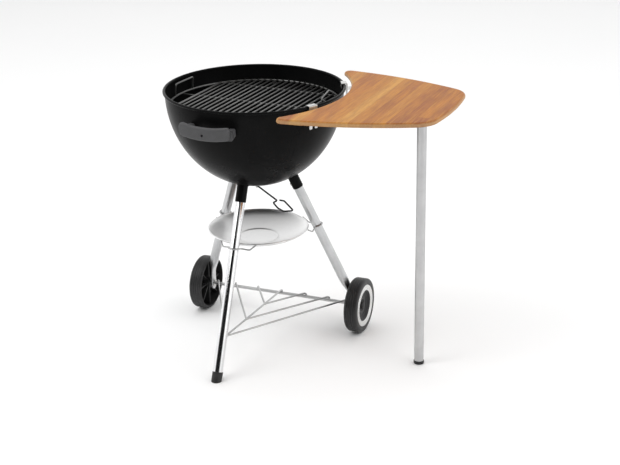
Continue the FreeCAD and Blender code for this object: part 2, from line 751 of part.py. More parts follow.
# --- Charcoal grate -------------------------------------------------------------------------
def charcoal_grate():
    count = int(COAL_GRATE_RADIUS / COAL_ROD_PITCH)
    offsets = [i * COAL_ROD_PITCH for i in range(-count + 1, count)]
    pieces = [Part.makeTorus(COAL_GRATE_RADIUS, COAL_ROD + 0.5, Vector(0, 0, COAL_GRATE_Z))]
    pieces += grate_rods(COAL_GRATE_RADIUS, COAL_GRATE_Z + 1.5, COAL_ROD, offsets)
    for rod_across in grate_rods(COAL_GRATE_RADIUS, COAL_GRATE_Z - 2.5, COAL_ROD, (-70.0, 70.0)):
        pieces.append(turned(rod_across, 90))
    return fused(pieces)


# --- Damper and ash sweeper -----------------------------------------------------------------
def damper_shaft():
    """Spindle through the bottom of the bowl, with a flange under the sheet."""
    spindle = rod(Vector(0, 0, SHAFT_END_Z), Vector(0, 0, HUB_Z + 14), SHAFT_RADIUS)
    flange = rod(Vector(0, 0, BOWL_BOTTOM - 3.5), Vector(0, 0, BOWL_BOTTOM - 0.5), 9.0)
    cross_hole = lever_wire(LEVER_WIRE + 0.05)
    return fused([spindle, flange]).cut(cross_hole)


def lever_point(along, across):
    return polar(1, LEVER_AZIMUTH) * along + polar(1, LEVER_AZIMUTH + 90) * across + UP * (
        LEVER_ROOT_Z - LEVER_SLOPE * along
    )


def lever_wire(wire_radius):
    """Spring-steel lever: a straight arm, a jog and an open finger loop."""
    route = [
        (-14, 0),
        (82, 2),
        (86, -14),
        (112, -20),
        (131, -16),
        (140, 10),
        (92, 18),
        (84, 10),
    ]
    points = [lever_point(along, across) for along, across in route]
    return bent_wire(points, wire_radius, [5.0, 6.0, 20.0, 7.0, 6.0, 5.0])


def damper_lever():
    return lever_wire(LEVER_WIRE)


def damper_nut():
    """Thin hexagonal nut on the spindle, between its flange and the lever."""
    corners = [polar(7.5, step * 60, NUT_Z) for step in range(7)]
    body = Part.Face(Part.makePolygon(corners)).extrude(UP * NUT_HEIGHT)
    return body.cut(rod(Vector(0, 0, NUT_Z - 5), Vector(0, 0, NUT_Z + 10), SHAFT_RADIUS + 0.02))


def sweeper_hub():
    """Collar inside the bowl that the three blades hang on."""
    low = Vector(0, 0, HUB_Z)
    collar = tube(low, low + UP * 12, 12.0, 12.0 - SHAFT_RADIUS - 0.02)
    return collar.cut([sweeper_blade(azimuth) for azimuth in BLADE_AZIMUTHS])


def sweeper_blade(azimuth):
    """Pressed blade that follows the inside of the bowl."""
    inset = SHEET + 0.8
    low = bowl_angle_at_radius(9.0, inset)
    middle = bowl_angle_at_radius(VENT_OUTER + 8, inset)
    high = bowl_angle_at_radius(BLADE_REACH, inset)
    wide = bowl_band(inset, inset + BLADE_SHEET, low, middle, azimuth, 2 * BLADE_HALF_ANGLE)
    narrow_angle = BLADE_HALF_ANGLE
    reach = bowl_band(inset, inset + BLADE_SHEET, middle, high, azimuth, narrow_angle)
    return fused([wide, reach])


# --- Side table -----------------------------------------------------------------------------
def arc_edge(start, middle, end):
    return Part.Arc(start, middle, end).toShape()


def table_outline(z):
    """Cut-out against the bowl, two tapering sides and a slightly bowed outer edge."""
    outer_corner = Vector(528.0, 148.5, z)
    side_middle = Vector(335.0, 219.5, z)
    tip = Vector(CUTOUT_CENTRE_X, 0, z) + polar(CUTOUT_RADIUS, CUTOUT_HALF_ANGLE)
    deepest = Vector(CUTOUT_CENTRE_X + CUTOUT_RADIUS, 0, z)

    def opposite(point):
        return Vector(point.x, -point.y, point.z)

    edges = [
        arc_edge(opposite(tip), deepest, tip),
        arc_edge(tip, side_middle, outer_corner),
        arc_edge(outer_corner, Vector(TABLE_RIGHT_X, 0, z), opposite(outer_corner)),
        arc_edge(opposite(outer_corner), opposite(side_middle), opposite(tip)),
    ]
    return Part.Wire(edges)


def upright_edges(shape):
    return [e for e in shape.Edges if e.BoundBox.XLength + e.BoundBox.YLength < 0.01]


def table_top():
    """Glued-up wooden top with rounded corners and well rounded edges."""
    tip_rounding = 16.0
    upper_easing = 5.0
    lower_easing = 3.5
    panel = Part.Face(table_outline(TABLE_UNDER_Z)).extrude(UP * TABLE_THICKNESS)
    outer = [e for e in upright_edges(panel) if e.CenterOfMass.x > TABLE_MIDDLE_X]
    panel = panel.makeFillet(TABLE_OUTER_ROUNDING, outer)
    tips = [e for e in upright_edges(panel) if e.CenterOfMass.x < TABLE_MIDDLE_X]
    panel = panel.makeFillet(tip_rounding, tips)
    upper = [e for e in panel.Edges if e.BoundBox.ZMin > TABLE_TOP_Z - 0.01]
    panel = panel.makeFillet(upper_easing, upper)
    lower = [e for e in panel.Edges if e.BoundBox.ZMax < TABLE_UNDER_Z + 0.01]
    return panel.makeFillet(lower_easing, lower)


def hook_box(low_radius, high_radius, low_z, high_z, half_width=HOOK_WIDTH / 2):
    corner = Vector(low_radius, -half_width, low_z)
    return Part.makeBox(high_radius - low_radius, 2 * half_width, high_z - low_z, corner)


def table_hook(azimuth):
    """Bracket under the table that hooks over the bowl's rim and ends in two prongs."""
    top_z = RIM_TOP + 0.6
    plate = hook_box(HOOK_PLATE_RADIUS, HOOK_PLATE_RADIUS + HOOK_SHEET, HOOK_PRONG_Z, top_z + HOOK_SHEET)
    notch = hook_box(HOOK_PLATE_RADIUS - 1, HOOK_PLATE_RADIUS + 5, HOOK_PRONG_Z - 1, HOOK_PRONG_Z + 16, 4.0)
    over = hook_box(HOOK_LIP_RADIUS, HOOK_PLATE_RADIUS + HOOK_SHEET, top_z, top_z + HOOK_SHEET)
    lip = hook_box(HOOK_LIP_RADIUS, HOOK_LIP_RADIUS + HOOK_SHEET, top_z - 13, top_z + HOOK_SHEET)
    tongue = hook_box(
        HOOK_PLATE_RADIUS, HOOK_TONGUE_RADIUS, TABLE_UNDER_Z - HOOK_SHEET, TABLE_UNDER_Z
    )
    bracket = fused([plate.cut(notch), over, lip, tongue])
    bracket = bracket.cut([hook_screw_hole(radius) for radius in HOOK_SCREW_RADII])
    return turned(bracket, azimuth)


def hook_screw_hole(radius):
    return rod(Vector(radius, 0, TABLE_UNDER_Z - 5), Vector(radius, 0, TABLE_UNDER_Z + 5), 2.1)


def wood_screw(place):
    """Round-head screw driven up into the wood."""
    head_z = place.z
    head = Part.makeCone(2.4, 4.4, 2.2, place - UP * 2.2)
    shank = rod(Vector(place.x, place.y, head_z - 0.5), place + UP * 8, 2.0)
    return fused([head, shank])


def hook_screws():
    screws = []
    for azimuth in HOOK_AZIMUTHS.values():
        for radius in HOOK_SCREW_RADII:
            screws.append(wood_screw(polar(radius, azimuth, TABLE_UNDER_Z - HOOK_SHEET)))
    return Part.makeCompound(screws)


def flange_screw_places():
    for step in range(4):
        offset = polar(FLANGE_SCREW_RADIUS, 45 + 90 * step)
        yield Vector(TABLE_LEG_X, 0, TABLE_UNDER_Z - FLANGE_SHEET) + offset


def table_leg_flange():
    """Round plate screwed under the table, with a collar for the leg."""
    centre = Vector(TABLE_LEG_X, 0, TABLE_UNDER_Z)
    plate = rod(centre - UP * FLANGE_SHEET, centre, 34.0)
    collar_radius = TABLE_LEG_RADIUS + 2.0
    collar = rod(centre - UP * 26, centre, collar_radius)
    socket = rod(centre - UP * 30, centre - UP * 4, TABLE_LEG_RADIUS + 0.05)
    holes = [rod(p - UP, p + UP * 5, 2.1) for p in flange_screw_places()]
    return fused([plate, collar]).cut([socket] + holes)


def flange_screws():
    return Part.makeCompound([wood_screw(place) for place in flange_screw_places()])


def screw_pilots():
    """Holes in the wood for every screw."""
    places = [polar(r, a, TABLE_UNDER_Z) for a in HOOK_AZIMUTHS.values() for r in HOOK_SCREW_RADII]
    places += [place + UP * FLANGE_SHEET for place in flange_screw_places()]
    return [rod(place - UP, place + UP * 7.5, 2.1) for place in places]


def table_leg():
    bottom = Vector(TABLE_LEG_X, 0, TABLE_FOOT_HEIGHT * 0.5)
    return tube(bottom, Vector(TABLE_LEG_X, 0, TABLE_UNDER_Z - 4.5), TABLE_LEG_RADIUS, LEG_WALL)


def table_foot_cap():
    floor = Vector(TABLE_LEG_X, 0, 0)
    cap = rod(floor, floor + UP * TABLE_FOOT_HEIGHT, TABLE_LEG_RADIUS + 1.3)
    socket_start = floor + UP * TABLE_FOOT_HEIGHT * 0.5
    return cap.cut(rod(socket_start, floor + UP * 20, TABLE_LEG_RADIUS + 0.03))


# --- Everything -----------------------------------------------------------------------------
def build():
    """Every node by name, around the bowl's axis."""
    body = bowl_body()
    right_wheel = wheel()
    right_trim = wheel_trim()
    nodes = {
        "bowl": bowl(),
        "handle_screws": handle_screws(),
        "snap_buttons": snap_buttons(),
        "front_leg": front_leg(),
        "right_leg": rear_leg("right"),
        "left_leg": rear_leg("left"),
        "front_foot_cap": foot_cap(),
        "axle": axle(),
        "axle_washers": axle_washers(),
        "axle_caps": axle_caps(),
        "wire_rack": wire_rack(),
        "cooking_grate_tabs": wall_tabs(GRATE_Z - GRATE_RING_WIRE, 12.0, 9.0, 12.0),
        "charcoal_grate_tabs": wall_tabs(COAL_GRATE_Z - COAL_ROD - 0.5, 20.0, 10.0, 26.0),
        "right_wheel": right_wheel,
        "left_wheel": mirrored(right_wheel),
        "right_wheel_trim": right_trim,
        "left_wheel_trim": mirrored(right_trim),
        "damper_shaft": damper_shaft(),
        "damper_lever": damper_lever(),
        "damper_nut": damper_nut(),
        "sweeper_hub": sweeper_hub(),
        "cooking_grate": cooking_grate(),
        "grate_handles": grate_handles(),
        "charcoal_grate": charcoal_grate(),
        "ash_pan": ash_pan(),
        "table_top": table_top().cut(screw_pilots()),
        "hook_screws": hook_screws(),
        "table_leg_flange": table_leg_flange(),
        "flange_screws": flange_screws(),
        "table_leg": table_leg(),
        "table_foot_cap": table_foot_cap(),
    }
    for name in LEG_NAMES:
        nodes[name + "_leg_sleeve"] = leg_sleeve(name, body)
        nodes[name + "_pan_clip"] = pan_clip(name)
    for name, azimuth in HANDLE_AZIMUTHS.items():
        nodes[name + "_handle"] = handle(azimuth)
    for name, azimuth in HOOK_AZIMUTHS.items():
        nodes[name + "_table_hook"] = table_hook(azimuth)
    for number, azimuth in enumerate(BLADE_AZIMUTHS, start=1):
        nodes["sweeper_blade_%d" % number] = sweeper_blade(azimuth)
    return nodes


def main():
    os.makedirs("parts", exist_ok=True)
    for name, shape in build().items():
        placed = shape.copy()
        placed.translate(BOWL_AXIS)
        placed.exportStep("parts/%s.step" % name)


main()
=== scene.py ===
import json
import math
import random

import bmesh
import bpy
from mathutils import Matrix, Vector

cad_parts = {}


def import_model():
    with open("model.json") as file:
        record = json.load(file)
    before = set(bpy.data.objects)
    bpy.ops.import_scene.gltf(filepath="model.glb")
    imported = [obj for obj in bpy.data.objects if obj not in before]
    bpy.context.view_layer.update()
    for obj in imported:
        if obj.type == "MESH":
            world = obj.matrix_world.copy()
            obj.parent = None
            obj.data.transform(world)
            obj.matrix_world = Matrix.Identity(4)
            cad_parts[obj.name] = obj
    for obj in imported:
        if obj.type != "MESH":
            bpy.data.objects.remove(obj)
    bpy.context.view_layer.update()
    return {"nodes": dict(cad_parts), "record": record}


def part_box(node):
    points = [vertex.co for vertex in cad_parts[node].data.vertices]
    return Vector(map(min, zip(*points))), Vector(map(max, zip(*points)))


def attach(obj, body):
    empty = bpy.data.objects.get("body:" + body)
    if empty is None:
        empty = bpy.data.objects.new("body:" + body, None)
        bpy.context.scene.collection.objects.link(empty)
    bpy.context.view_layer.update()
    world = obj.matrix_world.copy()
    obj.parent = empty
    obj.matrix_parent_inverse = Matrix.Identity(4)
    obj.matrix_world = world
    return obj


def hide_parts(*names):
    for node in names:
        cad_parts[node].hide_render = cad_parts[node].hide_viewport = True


# Looks for the kettle charcoal grill. Shapes are written in millimetres around the bowl's own
# axis, as in the CAD, and are moved to the part's frame when their mesh is made.

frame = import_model()
NODES = frame["nodes"]
BOWL_LOW, BOWL_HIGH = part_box("bowl")
AXIS = Vector(((BOWL_LOW.x + BOWL_HIGH.x) / 2, (BOWL_LOW.y + BOWL_HIGH.y) / 2, 0))
MM = 0.001
UP = Vector((0, 0, 1))
ALONG_X = Vector((1, 0, 0))
RANDOM = random.Random(7)

# --- Sizes shared by several pieces, in millimetres
RIM_RADIUS = 237.5
RIM_TOP = 714.0
BEAD_RADIUS = 3.6
BOWL_RADIUS = 232.3
BOWL_DEPTH = 255.8
SHOULDER_Z = 710.0
SHEET = 1.2
LEG_RADIUS = 12.7
LEG_WALL = 1.2
TUBE_START = 2
LEG_TOPS = {
    "front": Vector((0, -93.9, 462.5)),
    "right": Vector((83.57, 48.25, 462.5)),
    "left": Vector((-83.57, 48.25, 462.5)),
}
LEG_LOWS = {
    "front": Vector((0, -286.0, 0)),
    "right": Vector((200.0, 121.5, 150.0)),
    "left": Vector((-200.0, 121.5, 150.0)),
}
AXLE_CENTRE = Vector((0, 140.0, 75.5))
AXLE_RADIUS = 4.5
WHEEL_INNER_X = 216.5
WHEEL_WIDTH = 38.0
WHEEL_RADIUS = 75.5
GRATE_Z = 672.0
GRATE_RADIUS = 222.0
COAL_GRATE_Z = 548.0
COAL_GRATE_RADIUS = 168.0
PAN_RADIUS = 135.3
PAN_RIM_Z = 329.0
TABLE_LOW, TABLE_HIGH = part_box("table_top")
TABLE_TOP_Z = TABLE_HIGH.z / MM
TABLE_THICKNESS = (TABLE_HIGH.z - TABLE_LOW.z) / MM
TABLE_LEG = Vector((457.0, 0, 0))


# --- Mesh building
def polar(radius, azimuth, z=0.0):
    """Point at a radius and an azimuth in degrees about the bowl's axis."""
    angle = math.radians(azimuth)
    return Vector((radius * math.cos(angle), radius * math.sin(angle), z))


def turned(points, azimuth):
    """The points turned about the bowl's axis by an angle in degrees."""
    turn = Matrix.Rotation(math.radians(azimuth), 3, "Z")
    return [turn @ p for p in points]


def oval(centre, u, v, count):
    """Closed ring of points: centre + u cos + v sin."""
    steps = [2 * math.pi * i / count for i in range(count)]
    return [centre + u * math.cos(t) + v * math.sin(t) for t in steps]


def squared_oval(centre, u, v, power, count=48):
    """Ring between an ellipse (power 2) and a rounded rectangle (higher powers)."""
    ring = []
    for i in range(count):
        c = math.cos(2 * math.pi * i / count)
        s = math.sin(2 * math.pi * i / count)
        scale = (abs(c) ** power + abs(s) ** power) ** (-1 / power)
        ring.append(centre + u * c * scale + v * s * scale)
    return ring


def side_vectors(direction):
    """Two unit vectors square to a direction."""
    other = UP if abs(direction.z) < 0.9 else ALONG_X
    u = direction.cross(other).normalized()
    return u, direction.cross(u).normalized()


def rounded_path(points, radii, steps):
    """Points along straight runs joined by arcs of the given radii, each arc in so many steps."""
    path = [points[0]]
    for before, corner, after, radius in zip(points, points[1:], points[2:], radii):
        back = (before - corner).normalized()
        onward = (after - corner).normalized()
        half = back.angle(onward) / 2
        start = corner + back * (radius / math.tan(half))
        end = corner + onward * (radius / math.tan(half))
        centre = corner + (back + onward).normalized() * (radius / math.sin(half))
        turn = (start - centre).rotation_difference(end - centre)
        axis, angle = turn.to_axis_angle()
        for i in range(steps + 1):
            path.append(centre + Matrix.Rotation(angle * i / steps, 3, axis) @ (start - centre))
    path.append(points[-1])
    return path


def path_tangents(path):
    """Unit vectors along a path, one at each of its points."""
    directions = [(b - a).normalized() for a, b in zip(path, path[1:])]
    between = [(a + b).normalized() for a, b in zip(directions, directions[1:])]
    return [directions[0]] + between + [directions[-1]]


def mirrored_route(half, azimuth):
    """Half a route as (radius, offset, height) points, then its mirror image, turned into place."""
    route = half + [(r, -offset, z) for r, offset, z in reversed(half)]
    return turned([Vector(p) for p in route], azimuth)


class Build:
    """Collects rings and sheets of points into one mesh."""

    def __init__(self):
        self.points = []
        self.faces = []

    def add(self, points, faces):
        base = len(self.points)
        self.points += points
        self.faces += [tuple(base + i for i in face) for face in faces]

    def rings(self, rings, closed=False, caps=True):
        """Skin over rings that all have as many points."""
        count = len(rings[0])
        points = [p for ring in rings for p in ring]
        faces = []
        for i in range(len(rings) - (0 if closed else 1)):
            a = i * count
            b = (i + 1) % len(rings) * count
            faces += [(a + j, a + (j + 1) % count, b + (j + 1) % count, b + j) for j in range(count)]
        if caps and not closed:
            last = (len(rings) - 1) * count
            faces.append(tuple(reversed(range(count))))
            faces.append(tuple(last + j for j in range(count)))
        self.add(points, faces)

    def lathe(self, profile, count, axis=UP, centre=Vector((0, 0, 0)), closed=False):
        """Profile of (radius, distance along the axis) points turned about the axis."""
        u, v = side_vectors(axis)
        self.rings(
            [oval(centre + axis * z, u * max(r, 0.01), v * max(r, 0.01), count) for r, z in profile],
            closed=closed,
        )

    def wire(self, path, radius, count):
        """Round wire along a path of points, with rounded ends."""
        tangents = path_tangents(path)
        u, _ = side_vectors(tangents[0])
        rings = []
        for point, tangent in zip(path, tangents):
            u = (u - tangent * u.dot(tangent)).normalized()
            rings.append((point, u.copy(), tangent.cross(u)))
        skins = [oval(p, a * radius, b * radius, count) for p, a, b in rings]
        start = self.dome(rings[0], tangents[0] * -1, radius, count)[::-1]
        self.rings(start + skins + self.dome(rings[-1], tangents[-1], radius, count))

    @staticmethod
    def dome(ring, outward, radius, count):
        """Rings that round off a wire's end."""
        point, a, b = ring
        rows = []
        for angle in (30, 60, 84):
            c = math.cos(math.radians(angle)) * radius
            s = math.sin(math.radians(angle)) * radius
            rows.append(oval(point + outward * s, a * c, b * c, count))
        return rows

    def weld(self, point, radius, count=12):
        """Small uneven blob of weld metal."""
        rows = []
        for angle in (-80, -50, -18, 18, 50, 80):
            c = math.cos(math.radians(angle)) * radius * RANDOM.uniform(0.9, 1.05)
            s = math.sin(math.radians(angle)) * radius
            rows.append(oval(point + UP * s, Vector((c, 0, 0)), Vector((0, c, 0)), count))
        self.rings(rows)

    def piece(self, name, body, slot, replaces=(), sharp=38, bevel=0.0):
        """Makes the object, in the part's frame, on its body and with its finish."""
        mesh = bpy.data.meshes.new(name)
        mesh.from_pydata([p * MM + AXIS for p in self.points], [], self.faces)
        work = bmesh.new()
        work.from_mesh(mesh)
        bmesh.ops.remove_doubles(work, verts=work.verts, dist=1e-6)
        bmesh.ops.recalc_face_normals(work, faces=work.faces)
        work.to_mesh(mesh)
        work.free()
        mesh.shade_smooth()
        mesh.set_sharp_from_angle(angle=math.radians(sharp))
        obj = bpy.data.objects.new(name, mesh)
        bpy.context.scene.collection.objects.link(obj)
        if bevel:
            cut = obj.modifiers.new("edges", "BEVEL")
            cut.width = bevel * MM
            cut.segments = 3
            cut.limit_method = "ANGLE"
            cut.angle_limit = math.radians(40)
            cut.harden_normals = True
        obj.data.materials.append(FINISHES[slot])
        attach(obj, body)
        if replaces:
            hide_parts(*replaces)
        return obj


# --- Materials
class Finish:
    """A principled material whose colour, roughness and relief come from noise."""

    def __init__(self, name, roughness=0.5, metallic=0.0, specular=0.5, ior=1.5):
        self.material = bpy.data.materials.new(name)
        self.material.use_nodes = True
        self.tree = self.material.node_tree
        self.shader = self.tree.nodes["Principled BSDF"]
        self.shader.inputs["Roughness"].default_value = roughness
        self.shader.inputs["Metallic"].default_value = metallic
        self.shader.inputs["Specular IOR Level"].default_value = specular
        self.shader.inputs["IOR"].default_value = ior
        self.place = self.tree.nodes.new("ShaderNodeTexCoord").outputs["Object"]
        self.normal = None

    def node(self, kind, inputs=(), **settings):
        made = self.tree.nodes.new("ShaderNode" + kind)
        for key, value in settings.items():
            setattr(made, key, value)
        for key, value in dict(inputs).items():
            if isinstance(value, bpy.types.NodeSocket):
                self.tree.links.new(value, made.inputs[key])
            else:
                made.inputs[key].default_value = value
        return made

    def math(self, operation, a, b=0.0):
        return self.node("Math", {0: a, 1: b}, operation=operation).outputs[0]

    def moved(self, scale, offset, place=None):
        """Coordinates in metres times a scale for each axis, plus an offset."""
        source = place if place is not None else self.place
        return self.node("Mapping", {"Vector": source, "Scale": scale, "Location": offset}).outputs[0]

    def noise(self, scale, detail, stretch=(1, 1, 1), rough=0.5, offset=(0, 0, 0), place=None):
        where = self.moved(stretch, offset, place)
        inputs = {"Vector": where, "Scale": scale, "Detail": detail, "Roughness": rough}
        return self.node("TexNoise", inputs).outputs["Fac"]

    def remap(self, value, low, high, to_low, to_high):
        inputs = {"Value": value, "From Min": low, "From Max": high, "To Min": to_low, "To Max": to_high}
        return self.node("MapRange", inputs).outputs[0]

    def mix(self, factor, a, b):
        made = self.node("Mix", data_type="RGBA")
        for index, value in ((0, factor), (6, a), (7, b)):
            if isinstance(value, bpy.types.NodeSocket):
                self.tree.links.new(value, made.inputs[index])
            elif index:
                made.inputs[index].default_value = (*value, 1.0)
            else:
                made.inputs[index].default_value = value
        return made.outputs[2]

    def colour(self, value):
        self.tree.links.new(value, self.shader.inputs["Base Color"])
        return self

    def rough(self, value):
        self.tree.links.new(value, self.shader.inputs["Roughness"])
        return self

    def bump(self, height, depth, strength):
        """Relief of a given depth in millimetres."""
        inputs = {"Height": height, "Distance": depth * MM, "Strength": strength}
        made = self.node("Bump", inputs)
        if self.normal is not None:
            self.tree.links.new(self.normal, made.inputs["Normal"])
        self.normal = made.outputs[0]
        self.tree.links.new(self.normal, self.shader.inputs["Normal"])
        return self


def enamel(name):
    """Black enamel with a little orange peel, dust and smears."""
    f = Finish(name, specular=0.35, ior=1.16)
    dust = f.noise(9.0, 6.0, rough=0.62)
    f.colour(f.mix(f.remap(dust, 0.42, 0.75, 0.0, 1.0), (0.0045, 0.0045, 0.0046), (0.008, 0.008, 0.008)))
    smear = f.noise(14.0, 5.0, stretch=(1, 1, 0.35))
    f.rough(f.remap(smear, 0.3, 0.75, 0.24, 0.36))
    f.bump(f.noise(520.0, 2.0), 0.05, 0.35)
    return f.bump(f.noise(60.0, 2.0), 0.12, 0.25)


def bright_metal(name, dark, light, low, high, grain=(1, 1, 1)):
    """Metal with cloudy tone, uneven polish and fine marks along its grain."""
    f = Finish(name, metallic=1.0)
    cloud = f.noise(15.0, 5.0, rough=0.6)
    f.colour(f.mix(f.remap(cloud, 0.3, 0.72, 0.0, 1.0), dark, light))
    marks = f.noise(360.0, 3.0, stretch=grain)
    uneven = f.math("ADD", f.math("MULTIPLY", marks, 0.5), f.math("MULTIPLY", cloud, 0.5))
    f.rough(f.remap(uneven, 0.3, 0.7, low, high))
    return f.bump(marks, 0.02, 0.5)


def grate_metal(name, dark, light, brown, low, high):
    """Plated rod, straw-brown and stained where it has been hot."""
    f = Finish(name, metallic=0.9)
    cloud = f.noise(18.0, 6.0, rough=0.65)
    base = f.mix(f.remap(cloud, 0.32, 0.7, 0.0, 1.0), dark, light)
    stain = f.noise(42.0, 5.0, rough=0.7, offset=(3, 1, 2))
    f.colour(f.mix(f.remap(stain, 0.56, 0.76, 0.0, 0.7), base, brown))
    f.rough(f.remap(stain, 0.3, 0.75, low, high))
    return f.bump(f.noise(900.0, 3.0), 0.03, 0.5)


def spun_aluminium(name):
    """Aluminium with fine rings about the bowl's axis and a few dull patches."""
    f = Finish(name, metallic=1.0)
    centred = f.moved((1, 1, 0), (-AXIS.x, -AXIS.y, 0))
    radius = f.node("VectorMath", {0: centred}, operation="LENGTH").outputs["Value"]
    fine = {"W": radius, "Scale": 1600.0, "Detail": 3.0}
    rings = f.node("TexNoise", fine, noise_dimensions="1D").outputs["Fac"]
    cloud = f.noise(16.0, 5.0, rough=0.6)
    f.colour(f.mix(f.remap(cloud, 0.3, 0.75, 0.0, 1.0), (0.76, 0.76, 0.76), (0.86, 0.86, 0.855)))
    f.rough(f.remap(f.math("ADD", rings, cloud), 0.7, 1.3, 0.28, 0.38))
    return f.bump(rings, 0.02, 0.5)


def moulded(name, dark, light, low, high, grain=700.0):
    """Moulded plastic with fine grain, scuffs and dust."""
    f = Finish(name, specular=0.4)
    cloud = f.noise(22.0, 6.0, rough=0.65)
    base = f.mix(f.remap(cloud, 0.35, 0.7, 0.0, 1.0), dark, light)
    scuff = f.noise(130.0, 5.0, stretch=(1, 0.25, 1), rough=0.7)
    worn = tuple(min(1.0, c * 2.2) for c in light)
    f.colour(f.mix(f.remap(scuff, 0.62, 0.78, 0.0, 0.6), base, worn))
    f.rough(f.remap(cloud, 0.3, 0.7, low, high))
    return f.bump(f.noise(grain, 3.0), 0.06, 0.5)


def painted(name, base, chipped, low, high):
    """Paint or enamel on steel, with small chips and dull spots."""
    f = Finish(name, specular=0.3, ior=1.2)
    cloud = f.noise(30.0, 5.0)
    chips = f.noise(160.0, 6.0, rough=0.75)
    lighter = tuple(c * 1.8 for c in base)
    tone = f.mix(f.remap(cloud, 0.35, 0.7, 0.0, 1.0), base, lighter)
    f.colour(f.mix(f.remap(chips, 0.7, 0.76, 0.0, 1.0), tone, chipped))
    f.rough(f.remap(cloud, 0.3, 0.7, low, high))
    return f.bump(f.noise(420.0, 3.0), 0.04, 0.4)


def table_wood(name):
    """Oiled strips glued edge to edge along Y, each with its own tone and grain, with a painted highlight on
    the rounded edges.
    """
    f = Finish(name, specular=0.12)
    strip_width = 0.0285
    parts = f.node("SeparateXYZ", {0: f.place})
    wobble = f.math("MULTIPLY", f.noise(3.0, 1.0), 0.0012)
    across = f.math("DIVIDE", f.math("ADD", parts.outputs["X"], wobble), strip_width)
    strip = f.math("FLOOR", across)
    seed = f.node("TexWhiteNoise", {"W": strip}, noise_dimensions="1D")
    lengthwise = f.math("ADD", parts.outputs["Y"], f.math("MULTIPLY", seed.outputs["Value"], 0.9))
    board = f.math("FLOOR", f.math("DIVIDE", lengthwise, 1.4))
    both = f.math("ADD", f.math("MULTIPLY", board, 17.31), strip)
    tone = f.node("TexWhiteNoise", {"W": both}, noise_dimensions="1D").outputs["Value"]
    ramp = f.node("ValToRGB", {"Fac": tone})
    ramp.color_ramp.interpolation = "CONSTANT"
    tones = [
        (0.0, (0.37, 0.13, 0.022)),
        (0.17, (0.50, 0.235, 0.04)),
        (0.34, (0.27, 0.075, 0.018)),
        (0.5, (0.43, 0.175, 0.028)),
        (0.64, (0.31, 0.1, 0.02)),
        (0.8, (0.54, 0.27, 0.055)),
    ]
    ramp.color_ramp.elements[0].color = (*tones[0][1], 1)
    ramp.color_ramp.elements.remove(ramp.color_ramp.elements[1])
    for position, colour in tones[1:]:
        ramp.color_ramp.elements.new(position).color = (*colour, 1)
    sideways, lengthways = f.math("MULTIPLY", tone, 3.0), f.math("MULTIPLY", tone, 5.0)
    slide = f.node("CombineXYZ", {0: sideways, 1: lengthways, 2: tone})
    shifted = f.node("VectorMath", {0: f.place, 1: slide.outputs[0]}, operation="ADD").outputs[0]
    figure = f.noise(62.0, 5.0, stretch=(1, 0.12, 1), rough=0.66, place=shifted)
    fibre = f.noise(300.0, 4.0, stretch=(1, 0.045, 1), rough=0.62, place=shifted)
    pores = f.noise(900.0, 3.0, stretch=(1, 0.03, 1), rough=0.6, place=shifted)
    patches = f.noise(24.0, 3.0, stretch=(1.6, 0.35, 1), place=shifted)
    honey = f.mix(f.remap(patches, 0.42, 0.66, 0.0, 0.5), ramp.outputs["Color"], (0.5, 0.19, 0.018))
    grain = f.mix(f.remap(figure, 0.38, 0.68, 0.0, 0.6), honey, (0.22, 0.07, 0.016))
    light = f.mix(f.remap(fibre, 0.44, 0.72, 0.0, 0.5), grain, (0.6, 0.31, 0.1))
    dark = f.mix(f.remap(pores, 0.58, 0.76, 0.0, 0.5), light, (0.12, 0.04, 0.012))
    edge = f.math("ABSOLUTE", f.math("SUBTRACT", f.math("FRACT", across), 0.5))
    joint = f.remap(edge, 0.482, 0.5, 0.0, 0.45)
    glued = f.mix(joint, dark, (0.14, 0.05, 0.016))
    # Painted highlight: where the surface tilts away from level, on the rounded edges and sides, the colour
    # is mixed towards a light tan.
    facing = f.node("SeparateXYZ", {0: f.node("NewGeometry").outputs["Normal"]}).outputs["Z"]
    side = f.remap(f.math("ABSOLUTE", facing), 0.3, 0.95, 0.4, 0.0)
    f.colour(f.mix(side, glued, (0.7, 0.5, 0.29)))
    f.rough(f.remap(fibre, 0.3, 0.75, 0.36, 0.56))
    f.bump(f.math("SUBTRACT", f.math("MULTIPLY", pores, -1.0), joint), 0.12, 0.5)
    return f.bump(fibre, 0.1, 0.4)


